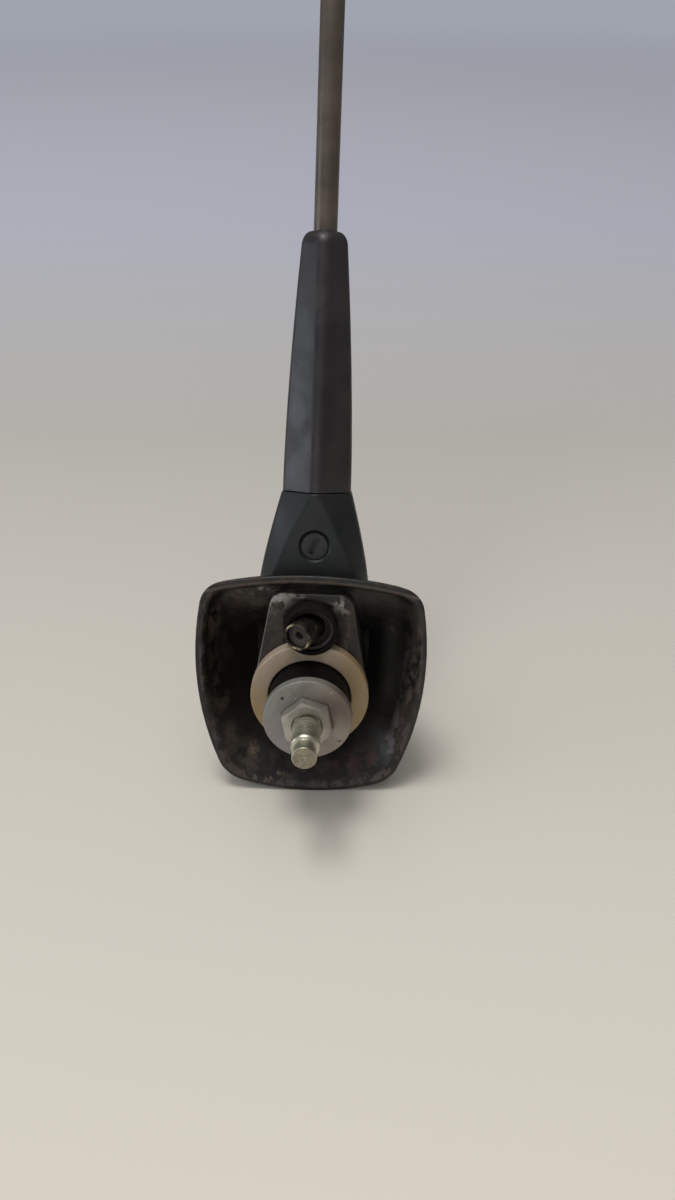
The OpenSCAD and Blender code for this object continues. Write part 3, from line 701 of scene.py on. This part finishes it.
looks = {
    "base_housing": baseLook(baseWear),
    "insulating_ring": ringLook(ringWear),
    "locating_hub": plasticLook("blackNylon", (0.002, 0.0018, 0.0016), (0.005, 0.004, 0.0034), 0.6,
                                specular=0.12),
    "clamp_cup": discLook(discWear),
    "roof_stud": studLook(studWear),
    "stud_nut": metalLook("nutZinc", (0.41, 0.385, 0.345), (0.25, 0.23, 0.2), 0.42, metallic=0.6),
    "socket_collar": plasticLook("collarRubber", (0.004, 0.0034, 0.0031), (0.009, 0.0071, 0.0063), 0.66,
                                 specular=0.14),
    "socket_sleeve": plasticLook("sleevePlastic", (0.05, 0.045, 0.043), (0.024, 0.02, 0.018), 0.5,
                                 specular=0.3),
    "socket_insulator": plasticLook("brownFloor", (0.022, 0.017, 0.014), (0.011, 0.009, 0.0075), 0.6,
                                    specular=0.25),
    "socket_barrel": barrelLook(barrelWear),
    "barrel_core": plasticLook("dustyCore", (0.056, 0.049, 0.045), (0.028, 0.024, 0.021), 0.7, specular=0.2),
    "socket_pin": metalLook("dullContact", (0.22, 0.17, 0.1), (0.1, 0.075, 0.045), 0.4),
    "contact_strap": metalLook("copperStrip", (0.7, 0.38, 0.2), (0.4, 0.2, 0.1), 0.35),
    "pivot_block": metalLook("castKnuckle", (0.25, 0.245, 0.235), (0.16, 0.155, 0.14), 0.42),
    "pivot_pin": metalLook("pinSteel", (0.5, 0.5, 0.5), (0.3, 0.29, 0.27), 0.3),
    "friction_washer_left": metalLook("bronzeLeft", (0.45, 0.35, 0.2), (0.3, 0.22, 0.12), 0.35),
    "friction_washer_right": metalLook("bronzeRight", (0.45, 0.35, 0.2), (0.3, 0.22, 0.12), 0.35),
    "mast_foot": plasticLook("footPlastic", (0.0115, 0.013, 0.014), (0.0165, 0.0175, 0.0175), 0.44,
                             1200, 0.00005, 0.34),
    "foot_insert": metalLook("insertBrass", (0.65, 0.48, 0.2), (0.4, 0.3, 0.14), 0.35),
    "lock_screw": plasticLook("blackenedScrew", (0.015, 0.016, 0.018), (0.027, 0.027, 0.028), 0.42,
                              specular=0.4),
    "contact_ball": metalLook("ballSteel", (0.6, 0.6, 0.6), (0.5, 0.5, 0.5), 0.2),
    "contact_spring": metalLook("springSteel", (0.5, 0.5, 0.5), (0.4, 0.4, 0.4), 0.3),
    "mast_ferrule": metalLook("ferruleSteel", (0.5, 0.5, 0.47), (0.36, 0.35, 0.32), 0.35),
    "mast_grip": plasticLook("gripRubber", (0.017, 0.0145, 0.0165), (0.03, 0.024, 0.027), 0.4,
                             1500, 0.00004),
    "loading_coil": metalLook("enamelWire", (0.55, 0.24, 0.1), (0.4, 0.16, 0.06), 0.3),
    "mast_rod": plasticLook("rodCoat", (0.07, 0.057, 0.045), (0.115, 0.094, 0.072), 0.34, 1500, 0.00002),
    "mast_tip": plasticLook("tipPlastic", (0.012, 0.012, 0.012), (0.02, 0.02, 0.02), 0.45),
}

for name, node in cadNodes.items():
    node.data.materials.clear()
    node.data.materials.append(looks[name])
print("materials on", len(looks), "nodes")

# tools for modelling, all in millimetres

sharpAngle = math.radians(32)
softenedAngle = math.radians(40)
proud = 1  # cutters stand this far proud of what they cut


def corner(before, point, after, reach, steps):
    toward, onward = before - point, after - point
    start = point + toward.normalized() * min(reach, 0.49 * toward.length)
    end = point + onward.normalized() * min(reach, 0.49 * onward.length)
    shares = [i / steps for i in range(steps + 1)]
    return [start * (1 - t) ** 2 + point * 2 * t * (1 - t) + end * t * t for t in shares]


def rounded(points, steps=4):
    spots = [Vector(p[:2]) for p in points]
    flat = []
    for i, (spot, reach) in enumerate(zip(spots, [p[2] for p in points])):
        after = spots[(i + 1) % len(spots)]
        flat += corner(spots[i - 1], spot, after, reach, steps) if reach else [spot]
    return flat


def newPiece(bm, name, place=None):
    bmesh.ops.remove_doubles(bm, verts=bm.verts, dist=1e-4)
    bmesh.ops.recalc_face_normals(bm, faces=bm.faces)
    turn = place or Matrix()
    bmesh.ops.transform(bm, matrix=Matrix.Scale(mm, 4) @ turn, verts=bm.verts)
    mesh = bpy.data.meshes.new(name)
    bm.to_mesh(mesh)
    bm.free()
    piece = bpy.data.objects.new(name, mesh)
    scene.collection.objects.link(piece)
    mesh.shade_smooth()
    mesh.set_sharp_from_angle(angle=sharpAngle)
    return piece


def bake(piece):
    graph = bpy.context.evaluated_depsgraph_get()
    mesh = bpy.data.meshes.new_from_object(piece.evaluated_get(graph))
    old = piece.data
    piece.modifiers.clear()
    piece.data = mesh
    bpy.data.meshes.remove(old)


def carve(piece, tool, operation="DIFFERENCE"):
    cut = piece.modifiers.new("cut", "BOOLEAN")
    cut.operation = operation
    cut.solver = "EXACT"
    cut.object = tool
    bake(piece)
    bpy.data.objects.remove(tool)


def soften(piece, width, segments=3, angle=30):
    edge = piece.modifiers.new("edge", "BEVEL")
    edge.width = width * mm
    edge.segments = segments
    edge.limit_method = "ANGLE"
    edge.angle_limit = math.radians(angle)
    bake(piece)
    piece.data.shade_smooth()
    piece.data.set_sharp_from_angle(angle=softenedAngle)


def ready(piece, node):
    piece.data.materials.clear()
    piece.data.materials.append(looks[node])
    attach(piece, bodyOf[node])
    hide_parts(node)


def turned(name, outline, place=None, steps=96):
    bm = bmesh.new()
    points = rounded(outline)
    ring = [bm.verts.new((p.x, 0, p.y)) for p in points]
    onAxis = points[0].x < 1e-6 and points[-1].x < 1e-6
    pairs = zip(ring, ring[1:]) if onAxis else zip(ring, ring[1:] + ring[:1])
    edges = [bm.edges.new(pair) for pair in pairs]
    bmesh.ops.spin(bm, geom=ring + edges, cent=(0, 0, 0), axis=(0, 0, 1), dvec=(0, 0, 0),
                   angle=2 * math.pi, steps=steps, use_merge=True)
    return newPiece(bm, name, place)


def tube(inner, outer, low, high, edge):
    return [(inner, low, edge), (outer, low, edge), (outer, high, edge), (inner, high, edge)]


def loft(name, rings, place=None):
    bm = bmesh.new()
    loops = []
    for ring in rings:
        verts = [bm.verts.new(p) for p in ring]
        loops.append([bm.edges.new(pair) for pair in zip(verts, verts[1:] + verts[:1])])
    for a, b in zip(loops, loops[1:]):
        bmesh.ops.bridge_loops(bm, edges=a + b)
    for loop in (loops[0], loops[-1]):
        bmesh.ops.contextual_create(bm, geom=loop)
    return newPiece(bm, name, place)


def extruded(name, outline, low, high, place=None):
    bm = bmesh.new()
    face = bm.faces.new([bm.verts.new((p[0], p[1], low)) for p in outline])
    top = bmesh.ops.extrude_face_region(bm, geom=[face])["geom"]
    bmesh.ops.translate(bm, verts=[v for v in top if isinstance(v, bmesh.types.BMVert)],
                        vec=(0, 0, high - low))
    return newPiece(bm, name, place)


def rodTool(radius, low, high, place=None, steps=64):
    bm = bmesh.new()
    bmesh.ops.create_cone(bm, cap_ends=True, segments=steps, radius1=radius, radius2=radius,
                          depth=high - low, matrix=Matrix.Translation((0, 0, (low + high) / 2)))
    return newPiece(bm, "tool", place)


def boxTool(low, high, place=None):
    bm = bmesh.new()
    low, high = Vector(low), Vector(high)
    size = Matrix.Diagonal((*(high - low), 1))
    bmesh.ops.create_cube(bm, size=1, matrix=Matrix.Translation((low + high) / 2) @ size)
    return newPiece(bm, "tool", place)


onMast = Matrix.Translation(hinge / mm) @ mastTurn  # +Y along the mast, origin on the hinge
across = Matrix.Rotation(math.pi / 2, 4, "Y")  # turns +Z to +X
along = Matrix.Rotation(-math.pi / 2, 4, "X")  # turns +Z to +Y


def size(node):
    low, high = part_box(node)
    return low / mm, high / mm


def hexOutline(flats, turn):
    reach = flats / 2 / math.cos(math.pi / 6)
    return [(reach * math.cos(a), reach * math.sin(a))
            for a in (math.radians(turn + 60 * i) for i in range(6))]


# base

lowBase, highBase = size("base_housing")
shell = {
    "halfWidth": highBase.x,
    "rear": highBase.y,
    "front": -lowBase.y,
    "crown": highBase.z,
    "rearCorner": (7.55, 1.9, 6.3),  # inset, sag and radius
    "frontCorner": (12.7, 1.9, 8.5),
    "sideBow": 76.6,
    "rimWidth": 1.6,
    "lip": 0.45,
    "roof": 2.2,
    "nose": 7.0,
    "crownRun": 8,
    "crownPower": 1.4,
    "flank": 0.45,
    "shellForm": (1.6, 0.85),
    "wallForm": (1.3, 1.0),
    "webLow": 2.2,
    "webRun": 20,
    "webPower": 1.8,
    "shares": (0.99, 0.97, 0.94, 0.91, 0.87, 0.83, 0.78, 0.73, 0.68, 0.62, 0.55, 0.46, 0.36, 0.25, 0.12),
}


def arc(centre, radius, start, end, count):
    turns = [start + (end - start) * i / count for i in range(count + 1)]
    return [centre + Vector((math.cos(a), math.sin(a))) * radius for a in turns]


def bearing(point, centre):
    d = point - centre
    return math.atan2(d.y, d.x)


def rimOutline(s):
    inRear, sagRear, rRear = s["rearCorner"]
    inFront, sagFront, rFront = s["frontCorner"]
    rear = Vector((s["halfWidth"] - inRear, s["rear"] - sagRear - rRear))
    front = Vector((s["halfWidth"] - inFront, sagFront + rFront - s["front"]))

    def bow(c, r, d):
        return (c.x ** 2 + d ** 2 - r ** 2) / (2 * (d - r))

    rearBow = bow(rear, rRear, s["rear"] - rear.y)
    frontBow = bow(front, rFront, s["front"] + front.y)
    rearMid, frontMid = Vector((0, s["rear"] - rearBow)), Vector((0, frontBow - s["front"]))
    gap = (front - rear).length
    a, b = s["sideBow"] - rRear, s["sideBow"] - rFront
    reach = (a * a - b * b + gap * gap) / (2 * gap)
    way = (front - rear) / gap
    sideMid = rear + way * reach + Vector((way.y, -way.x)) * math.sqrt(a * a - reach * reach)

    def at(inset):
        a1, a2 = bearing(rear, rearMid), bearing(rear, sideMid)
        a3, a4 = bearing(front, sideMid), bearing(front, frontMid)
        right = arc(rearMid, rearBow - inset, math.pi / 2, a1, 8)[:-1]
        right += arc(rear, rRear - inset, a1, a2, 8)[:-1]
        right += arc(sideMid, s["sideBow"] - inset, a2, a3, 12)[:-1]
        right += arc(front, rFront - inset, a3, a4, 10)[:-1]
        right += arc(frontMid, frontBow - inset, a4, -math.pi / 2, 8)
        return right + [Vector((-p.x, p.y)) for p in right[-2:0:-1]]

    return at


def crownAt(s, y, nose, top):
    u = min(1, max(0, (y + s["front"]) / (s["front"] + s["crownRun"])))
    return nose + (top - nose) * math.sin(math.pi / 2 * u) ** s["crownPower"]


def swell(s, share, form):
    t = min(1, (1 - share) / s["flank"])
    return (1 - (1 - t) ** form[0]) ** form[1]


def web(s, y):
    u = min(1, max(0, (s["rear"] - s["rimWidth"] - y) / s["webRun"]))
    return s["webLow"] + (s["crown"] - s["webLow"]) * u ** s["webPower"]


def lipRings(s, at):
    r = s["lip"]
    outer = [[(*p, r - r * math.sin(a)) for p in at(r - r * math.cos(a))]
             for a in map(math.radians, (0, 30, 60, 90))]
    inner = [[(*p, r - r * math.sin(a)) for p in at(s["rimWidth"] - r + r * math.cos(a))]
             for a in map(math.radians, (90, 75, 60, 48))]
    return outer + inner


def shellMesh(s):
    at = rimOutline(s)
    outer = [[(*(p * k), crownAt(s, p.y * k, s["nose"], s["crown"]) * swell(s, k, s["shellForm"]))
              for p in at(0)] for k in reversed(s["shares"])]
    inner = []
    for k in s["shares"]:
        ring = [p * k for p in at(s["rimWidth"])]
        inner.append([(*p, min(web(s, p.y), crownAt(s, p.y, s["nose"] - s["roof"], s["crown"] - s["roof"])
                               * swell(s, k, s["wallForm"]))) for p in ring])
    return loft("baseShell", outer + lipRings(s, at) + inner)


pedestal = {
    "radius": 12.6,
    "rearHalf": 8.6,
    "rear": 23.6,
    "socketPlace": 16.4,
    "collar": 5.7,
    "top": 12,
    "edge": 0.28,
    "bend": 3.0,
    "socketTop": 3.4,
    "studRadius": 3,
    "studRoot": 9,
}


def pedestalOutline(p):
    far = Vector((p["rearHalf"], p["rear"]))
    touch = bearing(far, Vector((0, 0))) - math.acos(p["radius"] / far.length)
    right = arc(Vector((0, 0)), p["radius"], -math.pi / 2, touch, 24)
    right += corner(right[-1], far, Vector((0, p["rear"])), p["bend"], 6)
    return right + [Vector((-q.x, q.y)) for q in right[:0:-1]]


fork = {  # the room that the foot turns in
    "pivot": hinge / mm,
    "drum": 8.4,
    "half": 12.4,
    "deck": 8.5,
    "flat": 10.9,
    "side": 4.2,
    "run": 30,  # cutters reach this far back and this far up or down, past the base
    "past": 20,
}


def cutForFork(piece, f):
    y, z = f["pivot"].y, f["pivot"].z
    half, past = f["half"], f["past"]
    carve(piece, rodTool(f["drum"], -half, half, Matrix.Translation(f["pivot"]) @ across))
    carve(piece, boxTool((-half, y - f["drum"], z), (half, y + f["run"], z + past)))
    notch = [(f["flat"], f["deck"]), (half, f["side"]), (half, -past), (-half, -past),
             (-half, f["side"]), (-f["flat"], f["deck"])]
    carve(piece, extruded("tool", notch, 0, f["run"], onMast @ along))


def makeBase(s, p, f):
    base = shellMesh(s)
    pedestalBlock = extruded("block", pedestalOutline(p), 0, p["top"])
    soften(pedestalBlock, p["edge"])
    carve(base, pedestalBlock, "UNION")
    cutForFork(base, f)
    carve(base, rodTool(p["collar"], -proud, p["socketTop"], Matrix.Translation((0, p["socketPlace"], 0))))
    carve(base, rodTool(p["studRadius"], -proud, p["studRoot"]))
    ready(base, "base_housing")
    return base


baseShell = makeBase(shell, pedestal, fork)
print("base shell made,", len(baseShell.data.polygons), "faces")

# clamp stack under the roof

stack = {
    "ring": (9.13, 13.03, 3.0, 0.35),  # inner, outer, thickness, edge
    "ringEdge": 0.25,
    "notch": 5.85,
    "hub": (3.3, 8.9, 10.1, 0.3),
    "disc": (9.48, 2.2, 0.3),
    "cupBore": 3.3,
    "cupEdge": 0.2,
    "boss": (7.3, 2, 0.2),  # radius, height, edge
    "pocket": 10.1,
    "pocketDepth": 0.2,
    "nutFlats": 10,
    "nutTurn": 18,
    "nutHeight": 5,
    "nutFace": -14.9,
    "nutEdge": 0.35,
    "nutSharp": 30,
    "nutBore": 3,
    "nutSink": 0.4,
    "nutCone": (4.7, 8, 2),  # radius at the face, radius it opens to, over this height
}


def makeStack(s):
    inner, outer, thick, edge = s["ring"]
    ring = turned("ringBody", tube(inner, outer, -thick, 0, edge))
    socketAxis = Matrix.Translation((0, pedestal["socketPlace"], 0))
    carve(ring, rodTool(s["notch"], -thick - proud, proud, socketAxis))
    soften(ring, s["ringEdge"])
    ready(ring, "insulating_ring")
    inner, outer, length, edge = s["hub"]
    ready(turned("hubBody", tube(inner, outer, -length, 0, edge)), "locating_hub")
    outer, thick, edge = s["disc"]
    boss, rise, bossEdge = s["boss"]
    top = -length
    cup = turned("cupDisc", [(s["cupBore"], top - thick, 0), (outer, top - thick, edge), (outer, top, edge),
                             (boss, top, 0), (boss, top + rise, bossEdge), (s["cupBore"], top + rise, 0)])
    pocket = hexOutline(s["pocket"], s["nutTurn"])
    carve(cup, extruded("tool", pocket, top - thick - proud, top + s["pocketDepth"]))
    soften(cup, s["cupEdge"])
    ready(cup, "clamp_cup")
    face, end = s["nutFace"], s["nutFace"] + s["nutHeight"]
    nut = extruded("nutBody", hexOutline(s["nutFlats"], s["nutTurn"]), face, end)
    soften(nut, s["nutEdge"])
    start, wide, rise = s["nutCone"]
    cone = [(0, face - 0.1, 0), (start, face - 0.1, 0), (wide, face + rise, 0), (wide, end, 0), (0, end, 0)]
    carve(nut, turned("tool", cone), "INTERSECT")
    sink, bore = s["nutSink"], s["nutBore"]
    hole = [(0, face - 0.1, 0), (bore + sink + 0.1, face - 0.1, 0), (bore, face + sink, 0),
            (bore, end + proud, 0), (0, end + proud, 0)]
    carve(nut, turned("tool", hole))
    nut.data.set_sharp_from_angle(angle=math.radians(s["nutSharp"]))
    ready(nut, "stud_nut")


makeStack(stack)

stud = {
    "radius": 3,
    "top": 9,
    "threadEnd": -22.6,
    "relief": (2.7, -15.2, -14.2),
    "neck": 2.3,
    "head": 2.56,
    "headHeight": 1,
    "end": -26.2,
    "dimple": (0.55, 0.45),  # radius, depth
    "leadIn": (0.35, 0.45),
}


def makeStud(s):
    r, low, high = s["relief"]
    end, top = s["end"], s["end"] + s["headHeight"]
    dimple, depth = s["dimple"]
    inset, rise = s["leadIn"]
    outline = [(0, end + depth, 0), (dimple, end + 0.05, 0.2), (s["head"], end, 0.35), (s["head"], top, 0.3),
               (s["neck"], top + 0.15, 0.15), (s["neck"], s["threadEnd"] - 0.1, 0.15),
               (s["radius"] - inset, s["threadEnd"], 0.1), (s["radius"], s["threadEnd"] + rise, 0.2),
               (s["radius"], low, 0.1), (r, low + 0.1, 0), (r, high - 0.1, 0), (s["radius"], high, 0.1),
               (s["radius"], s["top"], 0), (0, s["top"], 0)]
    ready(turned("studBody", outline), "roof_stud")


makeStud(stud)

# socket

socket = {
    "collar": (4.85, 5.7, -3.3, 3.4, 0.2),  # inner, outer, low, high, edge
    "sleeve": (4.2, 4.85, -2.3, 3.4, 0.15),
    "barrel": (2.55, 3.05, -6.45, 0.78, 0.18),
    "leanFrom": -0.3,
    "lean": -26,
    "coreFace": -5.45,
    "hole": 0.9,
    "pinHole": 0.65,
    "holeDepth": 1.4,
}


def makeSocket(s):
    upright = Matrix.Translation((0, pedestal["socketPlace"], 0))
    lean = Matrix.Translation((0, pedestal["socketPlace"], s["leanFrom"]))
    lean @= Matrix.Rotation(math.radians(s["lean"]), 4, "Y")
    ready(turned("collarBody", tube(*s["collar"]), upright), "socket_collar")
    ready(turned("sleeveBody", tube(*s["sleeve"]), upright), "socket_sleeve")
    ready(turned("barrelBody", tube(*s["barrel"]), lean, 72), "socket_barrel")
    inner, face, root = s["barrel"][0], s["coreFace"], s["barrel"][3]
    core = [(s["hole"], face, 0.15), (inner, face, 0.1), (inner, root, 0), (s["pinHole"], root, 0),
            (s["pinHole"], face + s["holeDepth"], 0), (s["hole"], face + s["holeDepth"], 0)]
    ready(turned("coreBody", core, lean, 48), "barrel_core")


makeSocket(socket)
print("stack and socket made")

# foot

foot = {
    "half": 12.0,
    "seamHalf": 7.65,
    "seam": 19.1,
    "flat": 9.6,
    "ridge": 0.3,
    "deck": 8.1,
    "deckRise": 0.4,
    "side": 4.2,
    "flarePower": 1.2,
    "ridgePower": 0.85,
    "cornerReach": 0.8,
    "shoulder": 0.35,
    "cheek": 8,
    "slotHalf": 6.1,
    "slotRadius": 6,
    "slotFront": 1.39,
    "slotTop": 2.6,
    "screwPlace": 7.8,
    "screwRadius": 2.95,
    "screwSink": 0.2,
    "screwDepth": 2.4,
    "screwChamfer": 0.6,
    "edge": (0.22, 2, 35),  # width, steps, least angle
    "rings": 40,
    "run": 30,  # cutters reach this far along the mast and this far to the other sides
    "past": 20,
    "below": -12,
}


def section(y, w, f, d, e, reach):
    right = [(f, -d, reach), (w, -e, reach), (w, e, reach), (f, d, reach)]
    left = [(-x, z, r) for x, z, r in reversed(right)]
    return [(p.x, y, p.y) for p in rounded(right + left)]


def footRing(f, y):
    u = max(0, y) / f["seam"]
    half = f["half"] - (f["half"] - f["seamHalf"]) * u ** f["flarePower"]
    flat = f["ridge"] + f["flat"] * (1 - u) ** f["ridgePower"]
    deck = f["deck"] + f["deckRise"] * u
    return half, flat, deck


def makeFoot(f):
    rings = []
    first, last, count = -f["cheek"] - 1, f["seam"] - f["shoulder"], f["rings"]
    for i in range(count + 1):
        y = first + (last - first) * i / count
        half, flat, deck = footRing(f, y)
        rings.append(section(y, half, flat, deck, f["side"], f["cornerReach"]))
    for turn in (30, 60, 90):
        a, r = math.radians(turn), f["shoulder"]
        drop = r * (1 - math.cos(a))
        rings.append(section(last + r * math.sin(a), half - drop, flat, deck - drop, f["side"],
                             f["cornerReach"]))
    body = loft("footBody", rings, onMast)
    past = f["past"]
    drum = rodTool(f["cheek"], -past, past, onMast @ across, 96)
    carve(drum, boxTool((-past, 0, -past), (past, f["run"], past), onMast), "UNION")
    carve(body, drum, "INTERSECT")
    slot = f["slotHalf"]
    carve(body, rodTool(f["slotRadius"], -slot, slot, onMast @ across))
    carve(body, boxTool((-slot, -past, -past), (slot, f["slotFront"], f["slotTop"]), onMast))
    place = onMast @ Matrix.Translation((0, f["screwPlace"], 0))
    radius, bevel = f["screwRadius"], f["screwChamfer"]
    carve(body, rodTool(radius, f["below"], f["screwSink"] + f["screwDepth"] - f["deck"], place))
    level = -footRing(f, f["screwPlace"])[2]
    cone = [(0, level - proud, 0), (radius + bevel + proud, level - proud, 0), (radius, level + bevel, 0),
            (0, level + bevel, 0)]
    carve(body, turned("tool", cone, place, 64))
    soften(body, *f["edge"])
    ready(body, "mast_foot")


makeFoot(foot)

screw = {
    "head": -7.9,
    "height": 2.4,
    "radius": 2.92,
    "slotHalf": 0.45,
    "slotReach": 1.8,
    "slotDepth": 0.8,
    "slotTurn": 24,
    "shank": (1.2, -3.2),  # radius, top
    "edge": (0.12, 2, 35),
}


def makeScrew(s):
    place = onMast @ Matrix.Translation((0, foot["screwPlace"], 0))
    low, high = s["head"], s["head"] + s["height"]
    shank, top = s["shank"]
    body = turned("screwBody", [(0, low, 0), (s["radius"], low, 0.15), (s["radius"], high, 0),
                                (shank, high, 0), (shank, top, 0), (0, top, 0)], place, 64)
    turn = place @ Matrix.Rotation(math.radians(s["slotTurn"]), 4, "Z")
    half, reach = s["slotHalf"], s["slotReach"]
    carve(body, boxTool((-half, -reach, low - proud), (half, reach, low + s["slotDepth"]), turn))
    soften(body, *s["edge"])
    ready(body, "lock_screw")


makeScrew(screw)

# grip, rod and tip

grip = {
    "start": 19.35,
    "half": 7.45,
    "endHalf": 4.9,
    "taperPower": 1.6,
    "shoulder": 70.15,
    "endRound": 3.2,
    "ridge": 0.9,
    "cornerReach": 0.9,
    "lip": 2.7,
    "startRound": 0.3,
    "flatten": 0.45,
    "rings": 48,
    "bore": 2.5,
    "boreEnd": 120,
}


def gripRing(g, y, w):
    deck = (w - g["flatten"]) / math.cos(math.pi / 6)
    return section(y, w, g["ridge"], deck, w / 2, g["cornerReach"])


def makeGrip(g):
    rings = []
    r, count = g["startRound"], g["rings"]
    for inset in (r, 0.1, 0):
        rings.append(gripRing(g, g["start"] + r - math.sqrt(r ** 2 - inset ** 2), g["half"] - inset))
    for i in range(1, count + 1):
        u = i / count
        y = g["start"] + r + (g["shoulder"] - g["start"] - r) * u
        rings.append(gripRing(g, y, g["half"] - (g["half"] - g["endHalf"]) * u ** g["taperPower"]))
    for turn in (*range(10, 90, 10), 88):
        a = math.radians(turn)
        w = g["lip"] + (g["endHalf"] - g["lip"]) * math.cos(a)
        rings.append(gripRing(g, g["shoulder"] + g["endRound"] * math.sin(a), w))
    body = loft("gripBody", rings, onMast)
    carve(body, rodTool(g["bore"], 0, g["boreEnd"], onMast @ along))
    ready(body, "mast_grip")


makeGrip(grip)

rod = {"radius": 2.5, "start": 26.1, "inTip": 2, "tipEnd": 280, "tipLength": 11, "tipRadius": 3.15,
       "tipEdge": 0.4, "tipTurns": (0.3, 0.6, 0.9, 1.2, 1.4)}


def makeRod(r):
    end, t = r["tipEnd"], r["tipRadius"]
    shaft = tube(0, r["radius"], r["start"], end - r["inTip"], 0)
    ready(turned("rodBody", shaft, onMast @ along, 64), "mast_rod")
    outline = [(0, end - r["tipLength"], 0), (t, end - r["tipLength"], r["tipEdge"]), (t, end - t, 0)]
    outline += [(t * math.cos(a), end - t + t * math.sin(a), 0) for a in r["tipTurns"]]
    outline.append((0, end, 0))
    ready(turned("tipBody", outline, onMast @ along, 64), "mast_tip")


makeRod(rod)
print("mast made")
